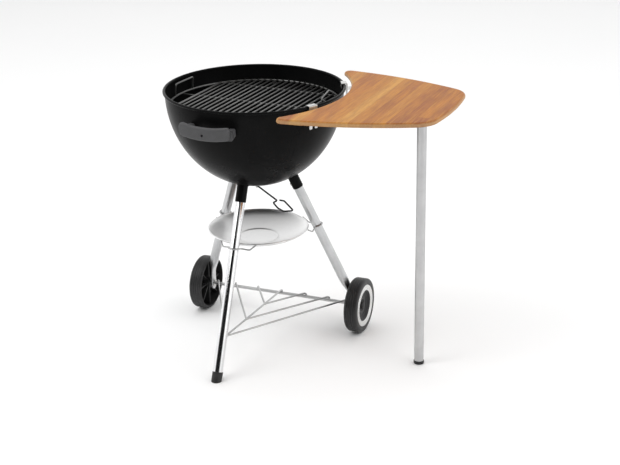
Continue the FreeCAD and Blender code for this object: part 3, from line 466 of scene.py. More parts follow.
FINISH_VALUES = {
    "black_enamel": (enamel,),
    "grate_steel": (grate_metal, (0.15, 0.15, 0.148), (0.24, 0.24, 0.235), (0.1, 0.082, 0.06), 0.28, 0.5),
    "coal_grate_steel": (grate_metal, (0.16, 0.155, 0.15), (0.3, 0.29, 0.28), (0.13, 0.08, 0.05), 0.45, 0.7),
    "bracket_steel": (painted, (0.006, 0.006, 0.006), (0.1, 0.1, 0.1), 0.3, 0.45),
    "sweeper_steel": (bright_metal, (0.34, 0.34, 0.335), (0.5, 0.5, 0.49), 0.36, 0.55),
    "lever_wire": (painted, (0.03, 0.03, 0.03), (0.3, 0.3, 0.3), 0.3, 0.45),
    "plated_tube": (bright_metal, (0.7, 0.7, 0.71), (0.82, 0.82, 0.825), 0.1, 0.2, (1, 1, 0.05)),
    "aluminium_tube": (bright_metal, (0.5, 0.505, 0.51), (0.62, 0.625, 0.63), 0.26, 0.38, (1, 1, 0.04)),
    "table_leg_metal": (bright_metal, (0.48, 0.48, 0.485), (0.6, 0.6, 0.6), 0.28, 0.4, (1, 1, 0.03)),
    "black_sleeve": (painted, (0.004, 0.004, 0.004), (0.1, 0.1, 0.1), 0.3, 0.45),
    "black_plastic": (moulded, (0.014, 0.014, 0.014), (0.03, 0.03, 0.03), 0.5, 0.68),
    "grey_nylon": (moulded, (0.065, 0.065, 0.067), (0.085, 0.085, 0.088), 0.52, 0.66, 1100.0),
    "wheel_plastic": (moulded, (0.018, 0.018, 0.018), (0.032, 0.032, 0.033), 0.4, 0.56),
    "bright_trim": (bright_metal, (0.66, 0.66, 0.65), (0.8, 0.8, 0.79), 0.18, 0.32),
    "axle_steel": (bright_metal, (0.5, 0.5, 0.5), (0.62, 0.62, 0.62), 0.26, 0.42, (0.04, 1, 1)),
    "rack_wire": (bright_metal, (0.42, 0.42, 0.42), (0.54, 0.54, 0.54), 0.24, 0.4),
    "pan_aluminium": (spun_aluminium,),
    "hook_steel": (bright_metal, (0.58, 0.58, 0.57), (0.7, 0.7, 0.69), 0.26, 0.42),
    "flange_steel": (painted, (0.02, 0.02, 0.02), (0.3, 0.3, 0.3), 0.4, 0.55),
    "zinc_screws": (bright_metal, (0.5, 0.5, 0.49), (0.64, 0.64, 0.62), 0.28, 0.45),
    "table_wood": (table_wood,),
}
FINISHES = {slot: maker(slot, *values).material for slot, (maker, *values) in FINISH_VALUES.items()}


# --- Bowl
def bowl_radius_at(z):
    """Outer radius of the bowl at a height."""
    share = (SHOULDER_Z - z) / BOWL_DEPTH
    return BOWL_RADIUS * math.sqrt(max(0.0, 1 - share * share))


def bowl_point(radius, inset=0.0):
    """(radius, z) on the wall's section at a radius."""
    share = radius / (BOWL_RADIUS - inset)
    return radius, SHOULDER_Z - (BOWL_DEPTH - inset) * math.sqrt(max(0.0, 1 - share * share))


def bowl():
    """Pressed shell with three vent slots, then the rolled rim as a bead round its edge."""
    spindle_hole = 4.1
    vent_start, vent_end = 24, 60
    vent_azimuths, vent_half_angle = (90, 210, 330), 22
    low_radii = [spindle_hole, 9, 16, vent_start, 30, 36, 42, 48, 54, vent_end, 70]
    angles = [math.asin(low_radii[-1] / BOWL_RADIUS) + 0.035 * i for i in range(1, 37)]
    angles = [a for a in angles if a < math.pi / 2 - 0.02]
    radii = low_radii + [BOWL_RADIUS * math.sin(a) for a in angles]
    outer = [bowl_point(r) for r in radii] + [(BOWL_RADIUS, SHOULDER_Z)]
    inner = [bowl_point(r - SHEET * r / BOWL_RADIUS, SHEET) for r in radii]
    inner.append((BOWL_RADIUS - SHEET, SHOULDER_Z))
    columns = 180
    rows = len(outer)
    step = 360 / columns
    points = [polar(r, step * j, z) for r, z in outer + inner for j in range(columns)]

    def index(layer, row, column):
        return (layer * rows + row) * columns + column % columns

    def open_cell(row, column):
        """Whether a cell of the sheet lies in a vent."""
        if not low_radii.index(vent_start) <= row < low_radii.index(vent_end):
            return False
        middle = (column % columns + 0.5) * step
        return any(abs((middle - vent + 180) % 360 - 180) < vent_half_angle for vent in vent_azimuths)

    faces = []

    def edge_wall(a, b):
        """Closes the sheet's thickness between two of its points, given as (row, column)."""
        faces.append((index(0, *a), index(0, *b), index(1, *b), index(1, *a)))

    for row in range(rows - 1):
        for column in range(columns):
            here = open_cell(row, column)
            if not here:
                for layer in (0, 1):
                    faces.append((
                        index(layer, row, column),
                        index(layer, row, column + 1),
                        index(layer, row + 1, column + 1),
                        index(layer, row + 1, column),
                    ))
            if here != open_cell(row, column + 1):
                edge_wall((row, column + 1), (row + 1, column + 1))
            if here != open_cell(row + 1, column):
                edge_wall((row + 1, column), (row + 1, column + 1))
    for row in (0, rows - 1):
        for column in range(columns):
            edge_wall((row, column), (row, column + 1))
    shell = Build()
    shell.add(points, faces)
    shell.piece("bowl_shell", "root", "black_enamel", ["bowl"], sharp=50)

    bead = Build()
    middle = RIM_RADIUS - BEAD_RADIUS
    level = RIM_TOP - BEAD_RADIUS
    circle = [math.radians(15 * i) for i in range(24)]
    profile = [(middle + BEAD_RADIUS * math.cos(t), level + BEAD_RADIUS * math.sin(t)) for t in circle]
    bead.lathe(profile, columns, closed=True)
    bead.piece("bowl_rim", "root", "black_enamel")


# --- Legs
def leg_down(name):
    """Unit vector down a leg."""
    return (LEG_LOWS[name] - LEG_TOPS[name]).normalized()


def leg_at(name, z):
    """Point on a leg's middle line at a height."""
    down = leg_down(name)
    top = LEG_TOPS[name]
    return top + down * ((z - top.z) / down.z)


def front_leg():
    """Straight plated tube."""
    down = leg_down("front")
    top = LEG_TOPS["front"] + down * TUBE_START
    length = (LEG_LOWS["front"] - down * 15 - top).length
    r = LEG_RADIUS
    bore = r - LEG_WALL
    tube = Build()
    profile = [(bore, 0), (r - 0.3, 0), (r, 0.4), (r, length), (bore, length)]
    tube.lathe(profile, 64, down, top, closed=True)
    tube.piece("front_leg_tube", "root", "plated_tube", ["front_leg"])


def rear_leg(name):
    """Tube pressed flat and cranked upright at its lower end, with a round tip."""
    side = 1 if name == "right" else -1
    down = leg_down(name)
    back = (Vector((0, 1, 0)) - down * down.y).normalized()
    across = down.cross(back)
    rings = []
    start = leg_at(name, 168)
    half_width, half_thickness = 12, 3
    end_z = 58.05
    for point in (LEG_TOPS[name] + down * TUBE_START, start):
        rings.append(squared_oval(point, back * LEG_RADIUS, across * LEG_RADIUS, 2.0))
    bend = Vector((side * 211, AXLE_CENTRE.y, 110))
    flat = Vector((0, 1, 0))
    thin = ALONG_X * math.copysign(1, across.x)
    for i in range(1, 13):
        t = i / 12
        ease = t * t * (3 - 2 * t)
        centre = start.lerp(bend, t)
        u = back.lerp(flat, ease).normalized()
        v = across.lerp(thin, ease).normalized()
        wide = LEG_RADIUS + (half_width - LEG_RADIUS) * ease + 2.2 * math.sin(math.pi * t)
        thick = LEG_RADIUS + (half_thickness - LEG_RADIUS) * ease
        rings.append(squared_oval(centre, u * wide, v * thick, 2 + 1.6 * ease))
    for z in (104, 96, 84, 72, 68, 65, 62, 60, 58.6, end_z):
        drop = max(0.0, 70 - z)
        wide = math.sqrt(max(0.1, half_width**2 - drop * drop))
        centre = Vector((bend.x, bend.y, z))
        rings.append(squared_oval(centre, flat * wide, thin * (half_thickness if z > 59 else 2.4), 3.6))
    leg = Build()
    leg.rings(rings)
    leg.piece(name + "_leg_tube", "root", "aluminium_tube", [name + "_leg"], sharp=60)


def bowl_share(point):
    """Distance from the middle of the bowl's mouth, as a share of the way to its outer skin."""
    return math.hypot(point.x / BOWL_RADIUS, point.y / BOWL_RADIUS, (point.z - SHOULDER_Z) / BOWL_DEPTH)


def sleeve(name):
    """Socket whose upper edge meets the bowl, with a weld bead round it."""
    down = leg_down(name)
    u, v = side_vectors(down)
    radius, bore, length = 14.4, 12.8, 32
    count = 64
    top_edge = []
    for i in range(count):
        around = u * math.cos(2 * math.pi * i / count) + v * math.sin(2 * math.pi * i / count)
        low, high = -60.0, 40.0
        for _ in range(24):
            middle = (low + high) / 2
            if bowl_share(LEG_TOPS[name] + around * radius + down * middle) < 1:
                low = middle
            else:
                high = middle
        top_edge.append(LEG_TOPS[name] + around * radius + down * (low - 0.3))
    end = LEG_TOPS[name] + down * length
    rings = [top_edge]
    for along, r in ((-1.0, radius), (-0.25, radius - 0.1), (0, radius - 0.6), (0, bore), (-8, bore)):
        rings.append(oval(end + down * along, u * r, v * r, count))
    body = Build()
    body.rings(rings, caps=False)
    body.piece(name + "_socket", "root", "black_sleeve", [name + "_leg_sleeve"], sharp=50)

    bead = Build()
    sections = []
    for i, point in enumerate(top_edge):
        out = (point - LEG_TOPS[name] - down * (point - LEG_TOPS[name]).dot(down)).normalized()
        size = 1.9 + 0.35 * math.sin(i * 1.9) + RANDOM.uniform(-0.12, 0.12)
        sections.append(oval(point, out * size, down * size, 10))
    bead.rings(sections, closed=True)
    mouth = Vector((0, 0, SHOULDER_Z))
    bead.points = [mouth + (p - mouth) / min(1.0, bowl_share(p)) for p in bead.points]
    bead.piece(name + "_socket_weld", "root", "black_sleeve")


def snap_buttons():
    """Spring buttons that stand through the sockets, on the side towards the bowl's axis."""
    buttons = Build()
    for name in LEG_TOPS:
        down = leg_down(name)
        out = (down * down.z - UP).normalized()
        base = LEG_TOPS[name] + down * 17
        profile = [(4, 10), (4, 14.9), (3.7, 15.5), (3.0, 15.95), (1.6, 16.2), (0, 16.25)]
        buttons.lathe(profile, 24, out, base)
    buttons.piece("leg_buttons", "root", "zinc_screws", ["snap_buttons"])


def foot_cap():
    """Plastic cup on the front leg, worn level with the floor."""
    down = leg_down("front")
    foot = LEG_LOWS["front"]
    profile = [(12.72, -18), (12.72, -24), (13.3, -24), (13.8, -23.5), (13.9, -22.6), (13.9, -20.6)]
    profile += [(13.55, -20.2), (13.55, -19.4), (13.9, -19), (13.9, 3), (13.2, 5.5), (11, 7), (0, 7)]
    cap = Build()
    cap.lathe(profile, 64, down, foot)
    for point in cap.points:
        point.z = max(point.z, 0.0)
    cap.piece("front_foot", "root", "black_plastic", ["front_foot_cap"], sharp=50)


# --- Axle and wheels
def axle():
    """Rod with chamfered ends."""
    length = 492.0
    chamfer = 0.8
    r = AXLE_RADIUS
    profile = [(0, 0), (r - chamfer, 0), (r, chamfer)]
    profile += [(r, length - chamfer), (r - chamfer, length), (0, length)]
    rod = Build()
    rod.lathe(profile, 40, ALONG_X, AXLE_CENTRE - ALONG_X * length / 2)
    rod.piece("axle_rod", "root", "axle_steel", ["axle"])


def tread_profile(inner, outer):
    """Tread from the inner shoulder to the outer one, with four grooves turned into it."""
    profile = [(WHEEL_RADIUS - 6, inner), (WHEEL_RADIUS - 3.2, inner + 0.7)]
    profile += [(WHEEL_RADIUS - 1.2, inner + 3), (WHEEL_RADIUS - 0.2, inner + 5.6)]
    for i in range(4):
        x = inner + 9 + i * (outer - inner - 18) / 3
        profile += [(WHEEL_RADIUS, x - 1.3), (WHEEL_RADIUS - 1.0, x - 0.7), (WHEEL_RADIUS - 1.0, x + 0.7)]
        profile.append((WHEEL_RADIUS, x + 1.3))
    profile += [(WHEEL_RADIUS - 0.2, outer - 5.6), (WHEEL_RADIUS - 1.4, outer - 2.6)]
    return profile + [(WHEEL_RADIUS - 3.6, outer - 0.9), (WHEEL_RADIUS - 6.5, outer)]


def wheel(side):
    """Moulded wheel, open and ribbed on the inside, with a dished web and a hub."""
    name = "right" if side > 0 else "left"
    inner = WHEEL_INNER_X
    outer = inner + WHEEL_WIDTH
    bore = AXLE_RADIUS + 0.06
    profile = tread_profile(inner, outer)
    profile += [(64.5, outer), (60.2, outer - 0.5), (58.9, outer - 1.6), (58.9, outer - 3)]
    profile += [(43.1, outer - 3), (41.6, outer - 4.6), (38.5, outer - 9), (36, outer - 10)]
    profile += [(31, outer - 10), (30.3, outer - 11), (24.5, outer - 11), (23.8, outer - 10)]
    profile += [(18, outer - 10), (16.5, outer - 10.6), (15, outer - 13)]
    profile += [(bore, outer - 13), (bore, inner + 3), (15, inner + 3)]
    profile += [(15, outer - 14.5), (37, outer - 14), (45.5, outer - 7), (66, outer - 7), (68.5, outer - 9)]
    profile += [(68.5, inner + 0.6), (69.5, inner)]
    body = Build()
    body.lathe(profile, 128, ALONG_X * side, AXLE_CENTRE, closed=True)
    ribs = 8
    section = [(14, inner + 9), (68.8, inner + 9), (68.8, outer - 8), (44, outer - 8)]
    section += [(36, outer - 13.5), (14, outer - 13.5)]
    for i in range(ribs):
        angle = 2 * math.pi * i / ribs
        along = Vector((0, math.cos(angle), math.sin(angle)))
        across = along.cross(ALONG_X)
        corners = [AXLE_CENTRE + along * r + ALONG_X * side * x for r, x in section]
        body.rings([[c + across * offset for c in corners] for offset in (-1.5, 1.5)])
    body.piece(name + "_wheel_moulding", name + "_wheel_body", "wheel_plastic", [name + "_wheel"], sharp=32)

    ring = Build()
    profile = [(58.5, outer - 3), (58.5, outer - 1.2), (57.6, outer - 0.4), (55.8, outer - 0.2)]
    profile += [(54.6, outer - 0.5), (47.0, outer - 2.0), (46.2, outer - 1.5), (44.3, outer - 1.5)]
    profile += [(43.5, outer - 2.2), (43.5, outer - 3)]
    ring.lathe(profile, 128, ALONG_X * side, AXLE_CENTRE, closed=True)
    ring.piece(name + "_wheel_ring", name + "_wheel_body", "bright_trim", [name + "_wheel_trim"], sharp=25)


def axle_caps():
    """Push-on caps outside the wheels."""
    caps = Build()
    profile = [(4.6, 242), (10.4, 242), (10.5, 243.2), (9.8, 244.4), (9.2, 246.4), (8.2, 247.8)]
    profile += [(6, 249.2), (3, 249.9), (0, 250)]
    for side in (-1, 1):
        caps.lathe(profile, 48, ALONG_X * side, AXLE_CENTRE)
    caps.piece("axle_end_caps", "root", "black_plastic", ["axle_caps"])


# --- Wire rack, ash pan and clips
def rack():
    """Welded wire shelf hooked over the axle."""
    wire = 2.5
    front_z = 101.0
    rear_z = AXLE_CENTRE.z + AXLE_RADIUS + wire
    front_y = leg_at("front", front_z).y + LEG_RADIUS

    def place(x, y):
        share = (y - front_y) / (AXLE_CENTRE.y - front_y)
        return Vector((x, y, front_z + share * (rear_z - front_z)))

    front = place(0, front_y + wire + 4)
    forks = [front, place(0, -95), place(0, 27)]
    routes = [(front, 0.0)]
    for fork, x in zip(forks, (196.0, 140.0, 70.0)):
        routes += [(fork, x), (fork, -x)]
    shelf = Build()
    for start, hook_x in routes:
        onward = Vector((hook_x - start.x, AXLE_CENTRE.y - start.y, 0)).normalized()
        wrap = AXLE_RADIUS / onward.y + wire + 0.6
        corner = Vector((hook_x, AXLE_CENTRE.y, AXLE_CENTRE.z + wrap)) + onward * wrap
        route = rounded_path([start, corner, corner - UP * (wrap + 2)], [wrap * 0.97], 10)
        shelf.wire(route, wire, 16)
    shelf.wire([front, place(0, front_y - 1.5)], wire + 0.2, 16)
    for fork in forks:
        shelf.weld(fork, wire + 1.1)
    shelf.piece("rack_wires", "root", "rack_wire", ["wire_rack"], sharp=60)


def ash_pan():
    """Spun dish with a rolled edge and a sunk disc."""
    rim = PAN_RADIUS - 2.0
    bottom = PAN_RIM_Z - 29.0
    sheet = 1.2
    knee = Vector((56, bottom))
    through = Vector((rim - 24, PAN_RIM_Z - 17))
    edge = Vector((rim, PAN_RIM_Z - 2))
    # Control point of a curve from the knee to the edge that passes near the point between them.
    control = (through - knee * 0.235 - edge * 0.265) / 0.5
    steps = 28
    under = []
    for i in range(steps + 1):
        t = i / steps
        under.append(knee * ((1 - t) * (1 - t)) + control * (2 * t * (1 - t)) + edge * (t * t))
    upper = [Vector((p.x - sheet * 0.3, p.y + sheet)) for p in under]
    disc_upper = [(0, bottom - 1.0), (50.5, bottom - 1.0), (51.8, bottom - 0.8)]
    disc_upper += [(53.4, bottom + 0.1), (54.6, bottom + 0.8)]
    disc_lower = [(54.8, bottom - 0.6), (53, bottom - 1.6), (51, bottom - 2.15), (0, bottom - 2.2)]
    profile = disc_upper + [tuple(p) for p in upper] + [tuple(p) for p in reversed(under)] + disc_lower
    dish = Build()
    dish.lathe(profile, 144)
    bead_radius = 2
    level = PAN_RIM_Z - bead_radius
    circle = [math.radians(20 * i) for i in range(18)]
    bead = [(rim + bead_radius * math.cos(t), level + bead_radius * math.sin(t)) for t in circle]
    dish.lathe(bead, 144, closed=True)
    dish.piece("ash_pan_dish", "ash_pan_body", "pan_aluminium", ["ash_pan"], sharp=45)


def pan_clip(name):
    """Spring wire that loops round a leg and holds the pan's edge."""
    wire = 2.0
    axis = leg_at(name, 325)
    azimuth = math.degrees(math.atan2(axis.y, axis.x))
    tilt = -leg_down(name).z
    side = LEG_RADIUS + wire + 0.4
    nose = math.hypot(axis.x, axis.y) + LEG_RADIUS / tilt + wire + 0.6
    tip_radius = PAN_RADIUS + wire + 0.5
    tip = (math.sqrt(tip_radius**2 - 50.0**2), 50.0, PAN_RIM_Z - 3)
    half = [tip, (141.0, 38.0, 316.0), (nose - 22.0, side, 319.0), (nose, side, 325.0)]
    points = mirrored_route(half, azimuth)
    clip = Build()
    clip.wire(rounded_path(points, [8.0, 5.0, side - 0.1, side - 0.1, 5.0, 8.0], 10), wire, 14)
    clip.piece(name + "_clip_wire", "root", "rack_wire", [name + "_pan_clip"], sharp=60)


# --- Grates
def grate(build, radius, z, ring_wire, rods, cross_rods, rod_rise):
    """Ring with parallel rods on it, welded to the ring at their ends, and cross rods under them."""

    def rod(start, end, wire):
        build.wire([start, (start + end) / 2, end], wire, 14)

    steps = 160
    sections = []
    for i in range(steps):
        azimuth = 360 * i / steps
        sections.append(oval(polar(radius, azimuth, z), polar(ring_wire, azimuth), UP * ring_wire, 14))
    build.rings(sections, closed=True)
    for x, wire in rods:
        reach = math.sqrt(radius**2 - x**2)
        height = z + rod_rise(wire)
        rod(Vector((x, -reach, height)), Vector((x, reach, height)), wire)
        for y in (-reach, reach):
            build.weld(Vector((x, y, height - 0.9)), wire + 0.3, 10)
    for y, wire in cross_rods:
        reach = math.sqrt(radius**2 - y**2)
        height = z - 2.5
        rod(Vector((-reach, y, height)), Vector((reach, y, height)), wire)


def lift_handle(build, azimuth, lean, upper):
    """Wire handle standing on the ring, its upper part leaning inwards by an angle."""
    half_width = 42.0
    foot_radius = math.sqrt(GRATE_RADIUS**2 - half_width**2)
    knee_z = GRATE_Z + 14.0
    tilt = math.radians(lean)
    top_radius = foot_radius - upper * math.sin(tilt)
    top_z = knee_z + upper * math.cos(tilt)
    half = [(foot_radius, half_width, GRATE_Z), (foot_radius, half_width, knee_z)]
    half.append((top_radius, half_width, top_z))
    points = mirrored_route(half, azimuth)
    build.wire(rounded_path(points, [6.0] * 4, 8), 2.4, 16)
    for foot in (points[0], points[-1]):
        build.weld(foot, 3.9, 12)


def cooking_grate():
    """Grate with two heavier end rods and a lift handle at each side."""
    count = 22
    pitch = 350.0 / (count - 1)
    thin, thick = 2.3, 3.4
    rods = [(i * pitch - 175.0, thick if i in (0, count - 1) else thin) for i in range(count)]
    cross_rods = [(y, thin) for y in (-145.0, 8.0, 145.0)]
    build = Build()
    grate(build, GRATE_RADIUS, GRATE_Z, 3.0, rods, cross_rods, lambda wire: 0.5 if wire == thick else 1.5)
    slightly_turned = -3.0
    build.points = turned(build.points, slightly_turned)
    build.piece("cooking_grate_rods", "cooking_grate_body", "grate_steel", ["cooking_grate"], sharp=60)
    handles = Build()
    lift_handle(handles, 174.0, 8.0, 20.0)
    lift_handle(handles, 8.0, 59.0, 34.0)
    handles.piece("grate_lift_wires", "cooking_grate_body", "grate_steel", ["grate_handles"], sharp=60)


def charcoal_grate():
    """Smaller and coarser grate below the cooking grate."""
    build = Build()
    thick = 2.5
    rods = [(21.0 * i, thick) for i in range(-7, 8)]
    cross_rods = [(y, thick) for y in (-70.0, 70.0)]
    grate(build, COAL_GRATE_RADIUS, COAL_GRATE_Z, 3.0, rods, cross_rods, lambda wire: 1.5)
    body = "charcoal_grate_body"
    build.piece("charcoal_grate_rods", body, "coal_grate_steel", ["charcoal_grate"], sharp=60)


# --- Damper lever
def damper_lever():
    """Bent wire lever that ends in a flat loop."""
    azimuth = -28.0
    along, across = polar(1, azimuth), polar(1, azimuth + 90)
    route = [(-14, 0), (82, 2), (86, -14), (112, -20), (131, -16), (140, 10), (92, 18), (84, 10)]
    points = [along * a + across * b + UP * (443.0 - 0.25 * a) for a, b in route]
    lever = Build()
    lever.wire(rounded_path(points, [5.0, 6.0, 20.0, 7.0, 6.0, 5.0], 9), 2.25, 16)
    lever.piece("damper_lever_wire", "damper", "lever_wire", ["damper_lever"], sharp=60)


# --- Handles
def handle(name, azimuth):
    """Moulded grip: a curved bar with scooped top, bowed bottom and two arms to the bowl."""
    face, thickness = 275.0, 13.0
    half_angle, low, high, scoop, bow = 15.0, 645.5, 685.0, 6.0, 6.0
    steps = 44
    rings = []
    for i in range(steps + 1):
        t = -1 + 2 * i / steps
        angle = half_angle * t
        top = high - scoop * (1 - t * t)
        bottom = low + bow * t * t
        end = max(0.0, (abs(t) - 0.87) / 0.13)
        pinch = 9.0 * (1 - math.sqrt(max(0.0, 1 - end * end)))
        top -= pinch
        bottom += pinch
        outward = polar(1, angle)
        centre = polar(face - thickness / 2, angle, (top + bottom) / 2)
        rings.append(squared_oval(centre, outward * thickness / 2, UP * (top - bottom) / 2, 5.0, 40))
    grip = Build()
    grip.rings(rings)
    arm_z, arm_angle, arm_half_width = 660.0, 14.35, 0.034
    wall = bowl_radius_at(arm_z)
    for sign in (-1, 1):
        middle = sign * arm_angle
        side = polar(arm_half_width, middle + 90)
        arm = []
        for i in range(10):
            r = wall + 0.4 + (face - thickness + 3 - wall) * i / 9
            arm.append(squared_oval(polar(r, middle, arm_z), side * r, UP * 11.0, 7.0, 40))
        follow_wall(arm[0], 0.35)
        grip.rings(arm)
    grip.points = turned(grip.points, azimuth)
    obj = grip.piece(name + "_grip", "root", "grey_nylon", [name + "_handle"], sharp=42)
    cut_handle(obj, azimuth)


def follow_wall(ring, gap):
    """Moves a ring's points out or in to lie on the bowl's wall."""
    for point in ring:
        reach = bowl_radius_at(point.z) + gap
        scale = reach / math.hypot(point.x, point.y)
        point.x *= scale
        point.y *= scale


def cut_handle(obj, azimuth):
    """Cuts the lanyard hole and the two moulded pockets behind the bar's ends."""
    hole = 3.4
    tool = Build()
    tool.lathe([(0, 250), (hole, 250), (hole, 290), (0, 290)], 24, polar(1, azimuth), UP * 660)
    for sign in (-1, 1):
        pocket = []
        for angle in (14.4, 17.3):
            place = azimuth + sign * angle
            pocket.append(squared_oval(polar(255.5, place, 666.5), polar(5.5, place), UP * 14.5, 6.0, 32))
        tool.rings(pocket)
    cutter = tool.piece(obj.name + "_cutter", "root", "grey_nylon")
    cut = obj.modifiers.new("holes", "BOOLEAN")
    cut.object = cutter
    cut.operation = "DIFFERENCE"
    cut.solver = "EXACT"
    graph = bpy.context.evaluated_depsgraph_get()
    made = bpy.data.meshes.new_from_object(obj.evaluated_get(graph))
    obj.modifiers.clear()
    obj.data = made
    made.shade_smooth()
    made.set_sharp_from_angle(angle=math.radians(42))
    bpy.data.objects.remove(cutter)


# --- Side table
def table_hook(name, azimuth):
    """Bent sheet bracket: tongue under the wood, plate outside the rim, a turned lip and two prongs."""
    sheet = 1.6
    under = TABLE_TOP_Z - TABLE_THICKNESS
    top_z = RIM_TOP + 0.6
    half_width = 13.0
    middle = sheet / 2
    lip_x, plate_x, prong_z = 226.5 + middle, 240.4 + middle, 656.0
    route = [
        Vector((lip_x, 0, top_z - 13.0)),
        Vector((lip_x, 0, top_z + middle)),
        Vector((plate_x, 0, top_z + middle)),
        Vector((plate_x, 0, prong_z)),
    ]
    path = rounded_path(route, [1.5, 1.5], 5)
    bracket = Build()
    strip(bracket, path, sheet, half_width, prong_from=len(path) - 1)
    tongue = [Vector((x, 0, under - middle)) for x in (241.4, 263.0, 285.0)]
    strip(bracket, tongue, sheet, half_width)
    bracket.points = turned(bracket.points, azimuth)
    node = name + "_table_hook"
    bracket.piece(name + "_hook_sheet", "side_table", "hook_steel", [node], sharp=30, bevel=0.35)


def strip(build, path, thickness, half_width, prong_from=None):
    """Sheet of even width along a path in the XZ plane. Its last run may split into two prongs."""
    normals = [Vector((t.z, 0, -t.x)) * (thickness / 2) for t in path_tangents(path)]
    end = len(path) if prong_from is None else prong_from
    side = Vector((0, half_width, 0))
    body = list(zip(path[:end], normals[:end]))
    if prong_from is not None:
        notch_top = Vector((path[-1].x, 0, path[-1].z + 16))
        body.append((notch_top, normals[-1]))
    build.rings([[p + n - side, p + n + side, p - n + side, p - n - side] for p, n in body])
    if prong_from is None:
        return
    for sign in (-1, 1):
        low = 4.0 if sign > 0 else -half_width
        high = half_width if sign > 0 else -4.0
        rings = []
        for z, trim in ((notch_top.z, 0), (path[-1].z + 2, 0), (path[-1].z, 1.5)):
            a = Vector((0, low + trim, 0))
            b = Vector((0, high - trim, 0))
            p = Vector((path[-1].x, 0, z))
            n = normals[-1]
            rings.append([p + n + a, p + n + b, p - n + b, p - n + a])
        build.rings(rings)


def table_outline():
    """Outline of the CAD top, smoothed between the vertices at the top of its upright side."""
    node = NODES["table_top"]
    corners = [(node.matrix_world @ v.co - AXIS) / MM for v in node.data.vertices]
    farthest = max(p.x for p in corners)
    side_top = max(p.z for p in corners if p.x > farthest - 0.02)
    level = [p for p in corners if abs(p.z - side_top) < 0.05]
    inside_x = 450
    level.sort(key=lambda p: math.atan2(p.y, p.x - inside_x))
    ring = [level[0]]
    for point in level[1:]:
        if (point - ring[-1]).length > 0.5:
            ring.append(point)
    outline = []
    spacing = 3
    for i, b in enumerate(ring):
        a, c, d = ring[i - 1], ring[(i + 1) % len(ring)], ring[(i + 2) % len(ring)]
        steps = max(1, round((c - b).length / spacing))
        for k in range(steps):
            t = k / steps
            slope = (c - a) * t
            curve = (2 * a - 5 * b + 4 * c - d) * t * t
            twist = (3 * b - a - 3 * c + d) * t**3
            outline.append(0.5 * (2 * b + slope + curve + twist))
    return outline


def table_top():
    """Wooden top with well rounded upper and lower edges."""
    outline = table_outline()
    inward = []
    for i in range(len(outline)):
        along = (outline[(i + 1) % len(outline)] - outline[i - 1]).normalized()
        inward.append(Vector((-along.y, along.x, 0)))
    under = TABLE_TOP_Z - TABLE_THICKNESS
    quarter = [math.radians(a) for a in (0, 15, 30, 45, 60, 75, 90)]
    low, high = 4.0, 6.5
    section = [(low + 1, under)]
    section += [(low * (1 - math.sin(t)), under + low * (1 - math.cos(t))) for t in quarter]
    section += [(high * (1 - math.cos(t)), TABLE_TOP_Z - high * (1 - math.sin(t))) for t in quarter]
    section.append((high + 1, TABLE_TOP_Z))
    rings = []
    for inset, z in section:
        rings.append([Vector((p.x, p.y, z)) + n * inset for p, n in zip(outline, inward)])
    top = Build()
    top.rings(rings)
    top.piece("table_board", "side_table", "table_wood", ["table_top"], sharp=60)


def table_leg():
    """Tube standing in a rubbery foot."""
    low = 4.5
    top = TABLE_TOP_Z - TABLE_THICKNESS - 4.5
    r = 12.5
    bore = r - LEG_WALL
    leg = Build()
    profile = [(bore, low), (r, low), (r, top - 0.4), (r - 0.4, top), (bore, top)]
    leg.lathe(profile, 64, UP, TABLE_LEG, closed=True)
    leg.piece("table_leg_tube", "side_table", "table_leg_metal", ["table_leg"])
    foot = Build()
    profile = [(0, 0), (11.5, 0), (13.0, 0.6), (13.8, 2.0), (13.8, 7.4), (13.5, 8.4)]
    profile += [(12.9, 9.0), (12.53, 9.0), (12.53, 5), (0, 5)]
    foot.lathe(profile, 64, UP, TABLE_LEG)
    foot.piece("table_foot", "side_table", "black_plastic", ["table_foot_cap"])


# --- CAD nodes that stay
def dress_nodes():
    """Finishes for the CAD nodes whose shape is already right."""
    for part in frame["record"]["subparts"]:
        obj = NODES[part["node"]]
        if not obj.hide_render:
            obj.data.materials.clear()
            obj.data.materials.append(FINISHES[part["material_slot"]])


# --- Studio
CAMERA_AZIMUTH = math.radians(22.6734)
CAMERA_PITCH = math.radians(21.1777)
CAMERA_ROLL = math.radians(-0.896)
CAMERA_DISTANCE = 3.9378
CAMERA_AIM = (0.1384, 0.307)
CAMERA_LENS = 84.98


def camera():
    """Camera at the photograph's viewing angle, aimed beside the bowl's axis."""
    a, e, roll = CAMERA_AZIMUTH, CAMERA_PITCH, CAMERA_ROLL
    right = Vector((math.cos(a), math.sin(a), 0))
    back = Vector((math.sin(a) * math.cos(e), -math.cos(a) * math.cos(e), math.sin(e)))
    up = back.cross(right)
    across = right * math.cos(roll) + up * math.sin(roll)
    upright = up * math.cos(roll) - right * math.sin(roll)
    place = AXIS + right * CAMERA_AIM[0] + UP * CAMERA_AIM[1] + back * CAMERA_DISTANCE
    data = bpy.data.cameras.new("camera")
    data.lens = CAMERA_LENS
    data.sensor_width = 36.0
    obj = bpy.data.objects.new("camera", data)
    bpy.context.scene.collection.objects.link(obj)
    turn = Matrix((across, upright, back)).transposed().to_4x4()
    obj.matrix_world = Matrix.Translation(place) @ turn
    bpy.context.scene.camera = obj


def softbox(name, place, aim, size, power, mirrored=True):
    """Rectangular light, which shiny surfaces may mirror or not."""
    data = bpy.data.lights.new(name, "AREA")
    data.shape = "RECTANGLE"
    data.size, data.size_y = size
    data.energy = power
    obj = bpy.data.objects.new(name, data)
    bpy.context.scene.collection.objects.link(obj)
    obj.location = place
    obj.visible_glossy = mirrored
    obj.rotation_mode = "QUATERNION"
    obj.rotation_quaternion = (Vector(aim) - Vector(place)).to_track_quat("-Z", "Y")


